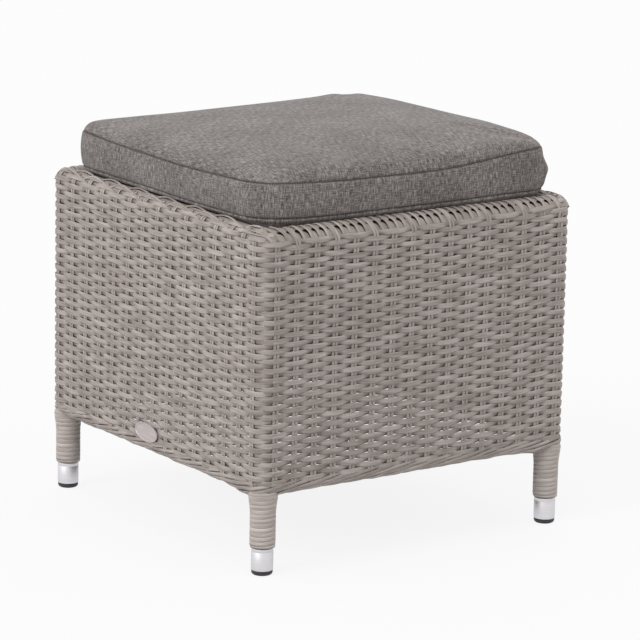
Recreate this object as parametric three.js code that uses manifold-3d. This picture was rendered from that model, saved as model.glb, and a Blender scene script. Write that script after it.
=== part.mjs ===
// Outdoor ottoman footstool: a welded tube frame dressed in woven synthetic rattan, with turned
// metal leg ends on plastic glides and a loose zipped seat cushion. Millimetres, +Z up, front
// towards -Y, origin on the floor at the middle of the four legs.

import * as THREE from 'three';
import Module from 'manifold-3d';
import { mergeVertices } from 'three/addons/utils/BufferGeometryUtils.js';

const wasm = await Module();
wasm.setup();

// Layout of the four legs and the two levels that the weave runs between
const legSpacingX = 400;
const legSpacingY = 420;
const hemHeight = 94.6;
const rimAxisHeight = 376;

// One clearance keeps every pair of touching pieces just apart, one overrun serves all cuts
const fitGap = 0.3;
const cutOverrun = 5;
const weldDistance = 1e-5;

// Frame tubes
const tubeDiameter = 25;
const tubeWall = 1.5;
const lowRailDiameter = 12;
const lowRailWall = 1.5;
const seatBarDiameter = 16;
const seatBarWall = 1.5;
const seatBarCount = 3;
const tubeSides = 16;
const domeSteps = 3;

// Woven skin: one layer of flat strands over pairs of upright stakes
const weaveThickness = 3.2;
const stakePitchAcross = 26.2;
const stakePitchAlong = 30;
const stakePairWidth = 8;
const strandSwell = 1.3;
const swellSteps = 4;
const seatDrop = 8;
const rimTuckAngle = THREE.MathUtils.degToRad(20);
const hemTuckAngle = THREE.MathUtils.degToRad(220);
const cornerEdgeBevel = 1.6;
const rollSteps = 8;
const hemSteps = 6;

// Leg winding: one flat strand from the leg end up to the hem
const strandWidth = 4.8;
const strandThickness = 1.25;
const strandShoulder = 0.9;
const windingTurns = 11;
const windingSteps = 12;
const windingFlareHeight = 23;
const windingFlareRise = 1.5;

// Leg end: turned metal ferrule and its plastic glide
const glideHeight = 5.2;
const glideInset = 0.4;
const glideRound = 4;
const glideStemLength = 18;
const glideBarbRise = 0.5;
const glideBarbPitch = 6;
const glideBarbCount = 2;
const ferruleHeight = 26;
const ferruleChamfer = 0.6;
const ferruleSpigotLength = 24;
const ferruleBoreDiameter = 16;
const stemPlay = 0.8;
const footSides = 12;

// Cushion: plan size over the bowed sides, heights of its seams and its crown
const cushionWidth = 404;
const cushionDepth = 410;
const cushionCornerRadius = 36;
const cushionSideBow = 4;
const cushionSeamLift = 5.5;
const cushionBoxing = 40;
const cushionBoxingBulge = 4;
const cushionCrown = 20;
const bellyChordSpare = 0.7;
const coverThickness = 1.5;
const cushionSideSteps = 4;
const cushionCornerSteps = 4;

// Shares of the plan, from the seam to the middle, and how far each has risen to the crown
const topPlanShares = [0.985, 0.945, 0.84, 0.64, 0.36];
const topRiseShares = [0.42, 0.72, 0.89, 0.96, 0.99];
const basePlanShares = [0.985, 0.94, 0.8, 0.6, 0.35];
const baseLiftShares = [0.2, 0, 0, 0, 0];
const baseDropShares = [0, 0.02, 0.35, 0.85, 1];
const boxingHeightShares = [0.18, 0.82];

// Zip in the straight rear boxing
const zipTapeMargin = 6;
const zipTapeHeight = 20;
const zipChainLength = 280;
const zipChainWidth = 5;
const zipChainRise = 1.6;
const zipStopLength = 3;
const sliderLength = 11;
const sliderWall = 1.5;
const sliderEarWall = 1.2;
const sliderEarRise = 4;
const sliderEarLength = 4;
const pullPinDiameter = 1.6;
const pullKnuckleWall = 0.7;
const pullWidth = 4.4;
const pullThickness = 1.2;
const pullLength = 22;
const pullHoleDiameter = 2.4;
const pinSides = 12;

// Sizes that follow from the ones above
const halfX = legSpacingX / 2;
const halfY = legSpacingY / 2;
const tubeRadius = tubeDiameter / 2;
const weaveInner = tubeRadius + fitGap;
const weaveOuter = weaveInner + weaveThickness;
const rimCrest = rimAxisHeight + weaveOuter;
const lowRailRadius = lowRailDiameter / 2;
const hemInner = lowRailRadius + fitGap;
const hemOuter = hemInner + weaveThickness;
const hemAxisHeight = hemHeight + hemOuter;
const hemAxisOut = weaveOuter - hemOuter;
const seatTop = rimCrest - seatDrop;
const seatUnderside = seatTop - weaveThickness;
const seatBarRadius = seatBarDiameter / 2;
const seatBarHeight = seatUnderside - fitGap - seatBarRadius;
const ferruleBase = glideHeight + fitGap;
const ferruleTop = ferruleBase + ferruleHeight;
const legBase = ferruleTop + fitGap;
const cushionBase = rimCrest + fitGap;
const cushionBaseDrop = seatDrop - fitGap;
const lowerSeam = cushionBase + cushionSeamLift;
const upperSeam = lowerSeam + cushionBoxing;
const bellyClearRadius = weaveOuter + fitGap + bellyChordSpare;
const zipTapeLength = zipChainLength + 2 * zipTapeMargin;

const corners = [
  { name: 'front_left', x: -halfX, y: -halfY, turn: 0 },
  { name: 'front_right', x: halfX, y: -halfY, turn: Math.PI / 2 },
  { name: 'back_right', x: halfX, y: halfY, turn: Math.PI },
  { name: 'back_left', x: -halfX, y: halfY, turn: -Math.PI / 2 },
];

// A side runs along X between two leg axes and lies at its reach towards -Y, then is turned
const sides = [
  { name: 'front', run: halfX, reach: halfY, turn: 0, stakePitch: stakePitchAcross, takesBars: true },
  { name: 'right', run: halfY, reach: halfX, turn: Math.PI / 2, stakePitch: stakePitchAlong, takesBars: false },
  { name: 'back', run: halfX, reach: halfY, turn: Math.PI, stakePitch: stakePitchAcross, takesBars: true },
  { name: 'left', run: halfY, reach: halfX, turn: -Math.PI / 2, stakePitch: stakePitchAlong, takesBars: false },
];

const finishes = {
  frame: new THREE.MeshStandardMaterial({ color: '#8f867e', roughness: 0.55, metalness: 0.3 }),
  weave: new THREE.MeshStandardMaterial({ color: '#a2978f', roughness: 0.6, metalness: 0 }),
  ferrule: new THREE.MeshStandardMaterial({ color: '#d3d3d6', roughness: 0.35, metalness: 1 }),
  glide: new THREE.MeshStandardMaterial({ color: '#2c2b2e', roughness: 0.5, metalness: 0 }),
  cover: new THREE.MeshStandardMaterial({ color: '#85807c', roughness: 0.95, metalness: 0 }),
  foam: new THREE.MeshStandardMaterial({ color: '#e6e1d2', roughness: 1, metalness: 0 }),
  zipTape: new THREE.MeshStandardMaterial({ color: '#5b5856', roughness: 0.9, metalness: 0 }),
  zipMetal: new THREE.MeshStandardMaterial({ color: '#6d6a68', roughness: 0.4, metalness: 0.8 }),
};

// Solids: closed meshes in and out of the boolean library
function weld(geometry) {
  const bare = geometry.clone();
  bare.deleteAttribute('normal');
  bare.deleteAttribute('uv');
  const merged = mergeVertices(bare, weldDistance);
  const kept = [];
  const index = merged.index.array;
  for (let i = 0; i < index.length; i += 3) {
    const [a, b, c] = [index[i], index[i + 1], index[i + 2]];
    if (a !== b && b !== c && c !== a) kept.push(a, b, c);
  }
  merged.setIndex(kept);
  return merged;
}

function toSolid(geometry) {
  const merged = weld(geometry);
  const mesh = new wasm.Mesh({
    numProp: 3,
    vertProperties: new Float32Array(merged.attributes.position.array),
    triVerts: new Uint32Array(merged.index.array),
  });
  return new wasm.Manifold(mesh);
}

function toGeometry(solid) {
  const mesh = solid.getMesh();
  const geometry = new THREE.BufferGeometry();
  geometry.setAttribute('position', new THREE.BufferAttribute(new Float32Array(mesh.vertProperties), 3));
  geometry.setIndex(new THREE.BufferAttribute(new Uint32Array(mesh.triVerts), 1));
  return geometry;
}

function named(name, geometry, finish) {
  const mesh = new THREE.Mesh(geometry, finish);
  mesh.name = name;
  geometry.computeVertexNormals();
  return mesh;
}

// Builders for the shapes that repeat
function revolve(points, segments) {
  const profile = points.map(([radius, height]) => new THREE.Vector2(radius, height));
  return new THREE.LatheGeometry(profile, segments).rotateX(Math.PI / 2);
}

function arcPoints(centreHeight, radius, fromAngle, toAngle, steps) {
  const points = [];
  for (let i = 0; i <= steps; i += 1) {
    const angle = fromAngle + ((toAngle - fromAngle) * i) / steps;
    points.push([radius * Math.cos(angle), centreHeight + radius * Math.sin(angle)]);
  }
  return points;
}

// Extrudes a section drawn in (Y, Z) along X, centred on X = 0
function alongX(section, length, curveSegments) {
  const geometry = new THREE.ExtrudeGeometry(section, { depth: length, bevelEnabled: false, curveSegments });
  geometry.translate(0, 0, -length / 2);
  const basis = new THREE.Matrix4().makeBasis(
    new THREE.Vector3(0, 1, 0),
    new THREE.Vector3(0, 0, 1),
    new THREE.Vector3(1, 0, 0),
  );
  return geometry.applyMatrix4(basis);
}

function rod(radius, length) {
  return new THREE.CylinderGeometry(radius, radius, length, tubeSides);
}

function rodAlongX(radius, length, y, z) {
  return toSolid(rod(radius, length).rotateZ(Math.PI / 2).translate(0, y, z));
}

function rodAlongY(radius, length, x, z) {
  return toSolid(rod(radius, length).translate(x, 0, z));
}

// What a leg takes up, with its clearance: a round post with a ball end at the rim's axis
function legEnvelope(x, y) {
  const profile = [
    [0, -cutOverrun],
    [weaveInner, -cutOverrun],
    ...arcPoints(rimAxisHeight, weaveInner, 0, Math.PI / 2, domeSteps).slice(0, -1),
    [0, rimAxisHeight + weaveInner],
  ];
  return toSolid(revolve(profile, tubeSides).translate(x, y, 0));
}

function lessLegs(solid, side) {
  return solid.subtract(legEnvelope(-side.run, -side.reach)).subtract(legEnvelope(side.run, -side.reach));
}

// The plan of one side's rim, mitred at 45 degrees where two sides meet inside the corner
function mitrePrism(side, endsAt) {
  const reachOut = weaveOuter + cutOverrun;
  const mitreShift = fitGap * Math.SQRT1_2;
  const plan = new THREE.Shape();
  plan.moveTo(-side.run - reachOut + mitreShift, -side.reach - reachOut);
  plan.lineTo(side.run + reachOut - mitreShift, -side.reach - reachOut);
  plan.lineTo(side.run - reachOut - mitreShift, -side.reach + reachOut);
  plan.lineTo(-side.run + reachOut + mitreShift, -side.reach + reachOut);
  const height = 2 * reachOut;
  const prism = new THREE.ExtrudeGeometry(plan, { depth: height, bevelEnabled: false });
  const trimmed = toSolid(prism.translate(0, 0, rimAxisHeight - reachOut));
  const stop = new THREE.BoxGeometry(2 * endsAt, 2 * height, 2 * height);
  return trimmed.intersect(toSolid(stop.translate(0, -side.reach, rimAxisHeight)));
}

// Frame: four domed leg posts, mitred and coped top rails, low rails and seat bars
function makeLegPost() {
  const bore = tubeRadius - tubeWall;
  const profile = [
    [0, rimAxisHeight + bore],
    ...arcPoints(rimAxisHeight, bore, Math.PI / 2, 0, domeSteps).slice(1),
    [bore, legBase],
    [tubeRadius, legBase],
    ...arcPoints(rimAxisHeight, tubeRadius, 0, Math.PI / 2, domeSteps).slice(0, -1),
    [0, rimAxisHeight + tubeRadius],
  ];
  return weld(revolve(profile, tubeSides));
}

function makeTopRail(side) {
  const length = 2 * side.run;
  const tube = rodAlongX(tubeRadius, length, -side.reach, rimAxisHeight)
    .subtract(rodAlongX(tubeRadius - tubeWall, length + cutOverrun, -side.reach, rimAxisHeight));
  return toGeometry(lessLegs(tube, side).intersect(mitrePrism(side, side.run)));
}

function makeLowRail(side) {
  const length = 2 * side.run;
  const y = -side.reach - hemAxisOut;
  const tube = rodAlongX(lowRailRadius, length, y, hemAxisHeight)
    .subtract(rodAlongX(lowRailRadius - lowRailWall, length + cutOverrun, y, hemAxisHeight));
  return toGeometry(lessLegs(tube, side));
}

function seatBarPlace(index) {
  return (legSpacingX * (index + 1)) / (seatBarCount + 1) - halfX;
}

function makeSeatBar(index) {
  const x = seatBarPlace(index);
  const railLength = legSpacingX + cutOverrun;
  const tube = rodAlongY(seatBarRadius, legSpacingY, x, seatBarHeight)
    .subtract(rodAlongY(seatBarRadius - seatBarWall, legSpacingY + cutOverrun, x, seatBarHeight))
    .subtract(rodAlongX(weaveInner, railLength, -halfY, rimAxisHeight))
    .subtract(rodAlongX(weaveInner, railLength, halfY, rimAxisHeight));
  return toGeometry(tube);
}

// Weave: sides that swell over each pair of stakes, quarter-round corners over the legs, the rim
// rolled over the top rails, the hem turned under round the low rails, and the seat inside the rim
function makeSideWeave(side) {
  const width = 2 * side.run - fitGap;
  const low = hemAxisHeight + fitGap;
  const height = rimAxisHeight - fitGap - low;
  const slab = new THREE.BoxGeometry(width, weaveThickness, height);
  let panel = toSolid(slab.translate(0, -side.reach - weaveInner - weaveThickness / 2, low + height / 2));
  const stakeCount = Math.floor((2 * side.run) / side.stakePitch) + 1;
  for (let i = 1; i < stakeCount; i += 1) {
    panel = panel.subtract(strandHollow(side, (i - stakeCount / 2) * side.stakePitch));
  }
  return toGeometry(panel);
}

// The shallow hollow between two pairs of stakes, where the strands cross from outside to inside
function strandHollow(side, x) {
  const halfWidth = (side.stakePitch - stakePairWidth) / 2;
  const face = -side.reach - weaveOuter;
  const plan = new THREE.Shape();
  plan.moveTo(x - halfWidth, face - cutOverrun);
  plan.lineTo(x + halfWidth, face - cutOverrun);
  for (let i = 0; i <= swellSteps; i += 1) {
    const across = 1 - (2 * i) / swellSteps;
    plan.lineTo(x + halfWidth * across, face + strandSwell * (1 - across ** 2));
  }
  return toSolid(new THREE.ExtrudeGeometry(plan, { depth: rimAxisHeight, bevelEnabled: false }));
}

function makeCornerWeave() {
  const profile = [
    [weaveInner, hemHeight],
    [weaveOuter - cornerEdgeBevel, hemHeight],
    [weaveOuter, hemHeight + cornerEdgeBevel],
    ...arcPoints(rimAxisHeight, weaveOuter, 0, Math.PI / 2, domeSteps).slice(0, -1),
    [0, rimCrest],
    [0, rimAxisHeight + weaveInner],
    ...arcPoints(rimAxisHeight, weaveInner, Math.PI / 2, 0, domeSteps).slice(1),
    [weaveInner, hemHeight],
  ];
  const reachOut = weaveOuter + cutOverrun;
  const height = rimCrest + cutOverrun;
  const quarter = new THREE.BoxGeometry(reachOut, reachOut, height);
  const middle = -reachOut / 2 - fitGap / 2;
  quarter.translate(middle, middle, height / 2);
  return toGeometry(toSolid(revolve(profile, tubeSides)).intersect(toSolid(quarter)));
}

function makeRimWrap(side, barPlaces) {
  const section = new THREE.Shape();
  section.absarc(-side.reach, rimAxisHeight, weaveOuter, Math.PI, -rimTuckAngle, true);
  section.absarc(-side.reach, rimAxisHeight, weaveInner, -rimTuckAngle, Math.PI, false);
  const endsAt = side.run - fitGap / 2;
  let roll = toSolid(alongX(section, 2 * side.run, rollSteps)).intersect(mitrePrism(side, endsAt));
  for (const x of barPlaces) {
    roll = roll.subtract(rodAlongY(seatBarRadius + fitGap, legSpacingY, x, seatBarHeight));
  }
  return toGeometry(roll);
}

function makeHemWrap(side) {
  const y = -side.reach - hemAxisOut;
  const section = new THREE.Shape();
  section.absarc(y, hemAxisHeight, hemOuter, Math.PI, Math.PI + hemTuckAngle, false);
  section.absarc(y, hemAxisHeight, hemInner, Math.PI + hemTuckAngle, Math.PI, true);
  return toGeometry(lessLegs(toSolid(alongX(section, 2 * side.run - fitGap, hemSteps)), side));
}

function makeSeatWeave() {
  const slab = new THREE.BoxGeometry(legSpacingX, legSpacingY, weaveThickness);
  let seat = toSolid(slab.translate(0, 0, seatTop - weaveThickness / 2));
  const envelope = weaveOuter + fitGap;
  for (const y of [-halfY, halfY]) {
    seat = seat.subtract(rodAlongX(envelope, legSpacingX + cutOverrun, y, rimAxisHeight));
  }
  for (const x of [-halfX, halfX]) {
    seat = seat.subtract(rodAlongY(envelope, legSpacingY + cutOverrun, x, rimAxisHeight));
  }
  return toGeometry(seat);
}

// Leg winding: one unbroken flat strand, wider where the stake ends lie under it
function windingRings() {
  const low = legBase + strandWidth / 2;
  const high = hemHeight - fitGap - strandWidth / 2;
  const inner = weaveInner / Math.cos(Math.PI / windingSteps);
  const rings = [];
  const count = windingTurns * windingSteps;
  for (let i = 0; i <= count; i += 1) {
    const angle = (2 * Math.PI * i) / windingSteps;
    const height = low + ((high - low) * i) / count;
    const climbed = THREE.MathUtils.smoothstep(height, high - windingFlareHeight, high);
    const near = inner + windingFlareRise * climbed;
    const far = near + strandThickness;
    const half = strandWidth / 2;
    const crown = half - strandShoulder;
    const section = [[near, -half], [far, -crown], [far, crown], [near, half]];
    rings.push(section.map(([radius, lift]) => new THREE.Vector3(
      radius * Math.cos(angle),
      radius * Math.sin(angle),
      height + lift,
    )));
  }
  return rings;
}

function skin(rings) {
  const around = rings[0].length;
  const positions = rings.flat().flatMap((point) => point.toArray());
  const index = [];
  for (let i = 0; i + 1 < rings.length; i += 1) {
    for (let j = 0; j < around; j += 1) {
      const [a, b] = [i * around + j, i * around + ((j + 1) % around)];
      const [c, d] = [a + around, b + around];
      index.push(a, c, b, b, c, d);
    }
  }
  const last = (rings.length - 1) * around;
  for (let j = 1; j + 1 < around; j += 1) {
    index.push(0, j, j + 1, last, last + j + 1, last + j);
  }
  const geometry = new THREE.BufferGeometry();
  geometry.setAttribute('position', new THREE.Float32BufferAttribute(positions, 3));
  geometry.setIndex(index);
  return geometry;
}

// Least distance between the top edge of one turn and the bottom edge of the turn above it
function leastTurnGap(rings) {
  let least = Infinity;
  const edge = new THREE.Line3();
  const nearest = new THREE.Vector3();
  for (let i = 0; i + windingSteps + 1 < rings.length; i += 1) {
    const upper = rings[i].at(-1);
    for (let j = i + windingSteps - 1; j <= i + windingSteps; j += 1) {
      edge.set(rings[j][0], rings[j + 1][0]).closestPointToPoint(upper, true, nearest);
      least = Math.min(least, nearest.distanceTo(upper));
    }
  }
  return least;
}

// Leg end
function makeFerrule() {
  const spigot = tubeRadius - tubeWall - fitGap;
  const bore = ferruleBoreDiameter / 2;
  const spigotTop = legBase + ferruleSpigotLength;
  return weld(revolve([
    [bore, ferruleBase],
    [tubeRadius - ferruleChamfer, ferruleBase],
    [tubeRadius, ferruleBase + ferruleChamfer],
    [tubeRadius, ferruleTop - ferruleChamfer],
    [tubeRadius - ferruleChamfer, ferruleTop],
    [spigot, ferruleTop],
    [spigot, spigotTop - ferruleChamfer],
    [spigot - ferruleChamfer, spigotTop],
    [bore, spigotTop],
    [bore, ferruleBase],
  ], footSides));
}

function makeGlide() {
  const disc = tubeRadius - glideInset;
  const barb = ferruleBoreDiameter / 2 - fitGap;
  const stem = barb - stemPlay;
  const profile = [[0, 0]];
  for (let i = 0; i <= domeSteps; i += 1) {
    const angle = ((i / domeSteps) * Math.PI) / 2;
    profile.push([
      disc - glideRound + glideRound * Math.sin(angle),
      glideRound - glideRound * Math.cos(angle),
    ]);
  }
  profile.push([disc, glideHeight], [stem, glideHeight]);
  for (let i = 1; i <= glideBarbCount; i += 1) {
    const height = glideHeight + i * glideBarbPitch;
    profile.push([stem, height - glideBarbRise], [barb, height], [stem, height + glideBarbRise]);
  }
  profile.push([stem, glideHeight + glideStemLength], [0, glideHeight + glideStemLength]);
  return weld(revolve(profile, footSides));
}

// Cushion plan: rounded corners and bowed sides, but for the straight rear side with the zip
function cushionPlan(inset, cornerSteps, sideSteps) {
  const radius = cushionCornerRadius - inset;
  const centreX = cushionWidth / 2 - cushionSideBow - cushionCornerRadius;
  const centreY = cushionDepth / 2 - cushionSideBow - cushionCornerRadius;
  const bows = [cushionSideBow, cushionSideBow, 0, cushionSideBow];
  const points = [];
  bows.forEach((bow, quarter) => {
    const [halfRun, reach] = quarter % 2 ? [centreY, centreX] : [centreX, centreY];
    const turn = (quarter * Math.PI) / 2;
    const side = [];
    for (let i = 0; i < sideSteps; i += 1) {
      const along = i / sideSteps;
      side.push([(2 * along - 1) * halfRun, -reach - radius - bow * Math.sin(Math.PI * along)]);
    }
    for (let i = 0; i < cornerSteps; i += 1) {
      const angle = ((i / cornerSteps) * Math.PI) / 2;
      side.push([halfRun + radius * Math.sin(angle), -reach - radius * Math.cos(angle)]);
    }
    for (const [x, y] of side) {
      points.push(new THREE.Vector2(x, y).rotateAround(new THREE.Vector2(), turn));
    }
  });
  return points;
}

// A ring of the cushion's underside, kept clear of the rolled rims that it sinks in between
function bellyRing(plan, share, height, inset) {
  const rise = height - rimAxisHeight;
  const clear = Math.sqrt(Math.max(bellyClearRadius ** 2 - rise ** 2, 0)) + inset;
  const [limitX, limitY] = [halfX - clear, halfY - clear];
  return plan.map((point) => new THREE.Vector3(
    THREE.MathUtils.clamp(point.x * share, -limitX, limitX),
    THREE.MathUtils.clamp(point.y * share, -limitY, limitY),
    height + inset,
  ));
}

// One closed cushion surface, drawn in evenly by an inset
function cushionForm(inset, cornerSteps, sideSteps) {
  const plan = cushionPlan(inset, cornerSteps, sideSteps);
  const bulged = cushionPlan(inset - cushionBoxingBulge, cornerSteps, sideSteps);
  const rings = [];
  const addRing = (outline, share, height) => {
    rings.push(outline.map((point) => new THREE.Vector3(point.x * share, point.y * share, height)));
  };
  const top = upperSeam + cushionCrown - inset;
  for (let i = basePlanShares.length - 1; i >= 0; i -= 1) {
    const lift = (lowerSeam - cushionBase) * baseLiftShares[i];
    const height = cushionBase + lift - cushionBaseDrop * baseDropShares[i];
    rings.push(bellyRing(plan, basePlanShares[i], height, inset));
  }
  addRing(plan, 1, lowerSeam);
  for (const share of boxingHeightShares) {
    addRing(bulged, 1, lowerSeam + cushionBoxing * share);
  }
  addRing(plan, 1, upperSeam);
  topPlanShares.forEach((share, i) => {
    addRing(plan, share, upperSeam + (top - upperSeam) * topRiseShares[i]);
  });
  const poles = [cushionBase + inset - cushionBaseDrop, top];
  return closeRings(rings, poles);
}

function closeRings(rings, [lowPole, highPole]) {
  const around = rings[0].length;
  const positions = rings.flat().flatMap((point) => point.toArray());
  positions.push(0, 0, lowPole, 0, 0, highPole);
  const low = rings.length * around;
  const high = low + 1;
  const last = (rings.length - 1) * around;
  const index = [];
  for (let j = 0; j < around; j += 1) {
    const next = (j + 1) % around;
    for (let i = 0; i + 1 < rings.length; i += 1) {
      const [a, b] = [i * around + j, i * around + next];
      index.push(a, b, a + around, b, b + around, a + around);
    }
    index.push(next, j, low, last + j, last + next, high);
  }
  const geometry = new THREE.BufferGeometry();
  geometry.setAttribute('position', new THREE.Float32BufferAttribute(positions, 3));
  geometry.setIndex(index);
  return geometry;
}

const rearFace = cushionDepth / 2 - cushionSideBow + cushionBoxingBulge;
const zipHeight = lowerSeam + cushionBoxing / 2;

function makeCushionCover() {
  const outer = toSolid(cushionForm(0, cushionCornerSteps, cushionSideSteps));
  const inner = toSolid(cushionForm(coverThickness, cushionCornerSteps, cushionSideSteps));
  const slotDepth = 2 * cutOverrun;
  const slot = new THREE.BoxGeometry(zipTapeLength + 2 * fitGap, slotDepth, zipTapeHeight + 2 * fitGap);
  const slotMiddle = rearFace - coverThickness / 2;
  return toGeometry(outer.subtract(inner).subtract(toSolid(slot.translate(0, slotMiddle, zipHeight))));
}

function makeCushionCore() {
  return cushionForm(coverThickness + fitGap, cushionCornerSteps / 2, cushionSideSteps / 2);
}

// Zip: tape with its chain and end stops, slider over the chain, pull on a cross pin
function makeZipTape() {
  const outerFace = rearFace;
  const tape = new THREE.BoxGeometry(zipTapeLength, coverThickness, zipTapeHeight);
  const chain = new THREE.BoxGeometry(zipChainLength, zipChainRise + coverThickness, zipChainWidth);
  const stopWidth = zipChainWidth + 2 * sliderWall;
  let zip = toSolid(tape.translate(0, outerFace - coverThickness / 2, zipHeight));
  zip = zip.add(toSolid(chain.translate(0, outerFace + (zipChainRise - coverThickness) / 2, zipHeight)));
  for (const end of [-1, 1]) {
    const stop = new THREE.BoxGeometry(zipStopLength, zipChainRise + coverThickness, stopWidth);
    const x = (end * (zipChainLength - zipStopLength)) / 2;
    zip = zip.add(toSolid(stop.translate(x, outerFace + (zipChainRise - coverThickness) / 2, zipHeight)));
  }
  return toGeometry(zip);
}

const sliderRest = -zipChainLength / 2 + zipStopLength + fitGap + sliderLength / 2;
const sliderFoot = rearFace + fitGap;
const sliderRoof = rearFace + zipChainRise + fitGap;
const sliderTop = sliderRoof + sliderWall;
const pullKnuckle = pullPinDiameter / 2 + fitGap + pullKnuckleWall;
const pullAxis = sliderTop + fitGap + pullKnuckle;

function makeZipSlider() {
  const channel = zipChainWidth / 2 + fitGap;
  const flank = channel + sliderWall;
  const section = new THREE.Shape();
  section.moveTo(sliderFoot, zipHeight - flank);
  section.lineTo(sliderTop, zipHeight - flank);
  section.lineTo(sliderTop, zipHeight + flank);
  section.lineTo(sliderFoot, zipHeight + flank);
  section.lineTo(sliderFoot, zipHeight + channel);
  section.lineTo(sliderRoof, zipHeight + channel);
  section.lineTo(sliderRoof, zipHeight - channel);
  section.lineTo(sliderFoot, zipHeight - channel);
  let slider = toSolid(alongX(section, sliderLength, 1));
  const earGap = pullWidth / 2 + fitGap;
  for (const end of [-1, 1]) {
    const ear = new THREE.BoxGeometry(sliderEarLength, sliderEarRise + sliderWall, sliderEarWall);
    const z = zipHeight + end * (earGap + sliderEarWall / 2);
    slider = slider.add(toSolid(ear.translate(0, sliderTop + (sliderEarRise - sliderWall) / 2, z)));
  }
  const pinRadius = pullPinDiameter / 2;
  const pin = new THREE.CylinderGeometry(pinRadius, pinRadius, 2 * earGap + sliderEarWall, pinSides);
  slider = slider.add(toSolid(pin.rotateX(Math.PI / 2).translate(0, pullAxis, zipHeight)));
  return toGeometry(slider.translate([sliderRest, 0, 0]));
}

function makeZipPull() {
  const eye = pullPinDiameter / 2 + fitGap;
  const knuckle = new THREE.CylinderGeometry(pullKnuckle, pullKnuckle, pullWidth, pinSides);
  const bore = new THREE.CylinderGeometry(eye, eye, pullWidth + cutOverrun, pinSides);
  const hole = new THREE.CylinderGeometry(pullHoleDiameter / 2, pullHoleDiameter / 2, cutOverrun, pinSides);
  const tab = new THREE.BoxGeometry(pullLength, pullThickness, pullWidth);
  const pull = toSolid(knuckle.rotateX(Math.PI / 2))
    .add(toSolid(tab.translate(-pullLength / 2, 0, 0)))
    .subtract(toSolid(bore.rotateX(Math.PI / 2)))
    .subtract(toSolid(hole.translate(-pullLength + pullWidth / 2, 0, 0)));
  return toGeometry(pull.translate([sliderRest, pullAxis, zipHeight]));
}

const stool = new THREE.Group();

function place(name, geometry, finish, x, y, turn) {
  const mesh = named(name, geometry, finish);
  mesh.position.set(x, y, 0);
  mesh.rotation.z = turn;
  stool.add(mesh);
}

const rings = windingRings();
console.log(`least gap between turns of a leg winding: ${leastTurnGap(rings).toFixed(2)} mm`);

for (const corner of corners) {
  place(`leg_post_${corner.name}`, makeLegPost(), finishes.frame, corner.x, corner.y, 0);
  place(`corner_weave_${corner.name}`, makeCornerWeave(), finishes.weave, corner.x, corner.y, corner.turn);
  place(`leg_winding_${corner.name}`, skin(rings), finishes.weave, corner.x, corner.y, corner.turn);
  place(`leg_ferrule_${corner.name}`, makeFerrule(), finishes.ferrule, corner.x, corner.y, 0);
  place(`leg_glide_${corner.name}`, makeGlide(), finishes.glide, corner.x, corner.y, 0);
}

const barPlaces = Array.from({ length: seatBarCount }, (unused, index) => seatBarPlace(index));

for (const side of sides) {
  const bars = side.takesBars ? barPlaces : [];
  place(`top_rail_${side.name}`, makeTopRail(side), finishes.frame, 0, 0, side.turn);
  place(`low_rail_${side.name}`, makeLowRail(side), finishes.frame, 0, 0, side.turn);
  place(`side_weave_${side.name}`, makeSideWeave(side), finishes.weave, 0, 0, side.turn);
  place(`rim_wrap_${side.name}`, makeRimWrap(side, bars), finishes.weave, 0, 0, side.turn);
  place(`hem_wrap_${side.name}`, makeHemWrap(side), finishes.weave, 0, 0, side.turn);
}

barPlaces.forEach((unused, index) => {
  place(`seat_bar_${index + 1}`, makeSeatBar(index), finishes.frame, 0, 0, 0);
});

place('seat_weave', makeSeatWeave(), finishes.weave, 0, 0, 0);
place('cushion_cover', makeCushionCover(), finishes.cover, 0, 0, 0);
place('cushion_core', makeCushionCore(), finishes.foam, 0, 0, 0);
place('zip_tape', makeZipTape(), finishes.zipTape, 0, 0, 0);
place('zip_slider', makeZipSlider(), finishes.zipMetal, 0, 0, 0);
place('zip_pull', makeZipPull(), finishes.zipMetal, 0, 0, 0);

export default stool;
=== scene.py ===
"""The looks of a woven garden footstool with a loose boxed cushion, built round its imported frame."""
import bisect
import math

import bmesh
import bpy
from mathutils import Matrix, Vector, noise


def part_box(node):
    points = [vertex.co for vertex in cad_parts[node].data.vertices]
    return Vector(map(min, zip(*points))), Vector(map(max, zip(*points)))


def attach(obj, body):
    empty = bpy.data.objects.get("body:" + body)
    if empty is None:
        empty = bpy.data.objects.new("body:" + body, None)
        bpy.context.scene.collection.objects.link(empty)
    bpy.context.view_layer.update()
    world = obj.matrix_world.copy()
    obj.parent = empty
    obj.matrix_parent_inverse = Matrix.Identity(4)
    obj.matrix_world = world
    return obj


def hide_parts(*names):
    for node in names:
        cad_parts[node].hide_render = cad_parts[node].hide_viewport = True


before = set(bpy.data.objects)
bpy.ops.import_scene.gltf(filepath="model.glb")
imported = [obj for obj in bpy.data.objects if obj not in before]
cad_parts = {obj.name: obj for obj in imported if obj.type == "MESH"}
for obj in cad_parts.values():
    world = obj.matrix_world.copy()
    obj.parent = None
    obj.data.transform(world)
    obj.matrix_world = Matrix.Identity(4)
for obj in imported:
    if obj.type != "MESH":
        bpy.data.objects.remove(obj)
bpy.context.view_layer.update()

MM = 0.001
UP = Vector((0, 0, 1))
TURNS = ("front", "right", "back", "left")
CORNERS = ("front_left", "front_right", "back_right", "back_left")

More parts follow.
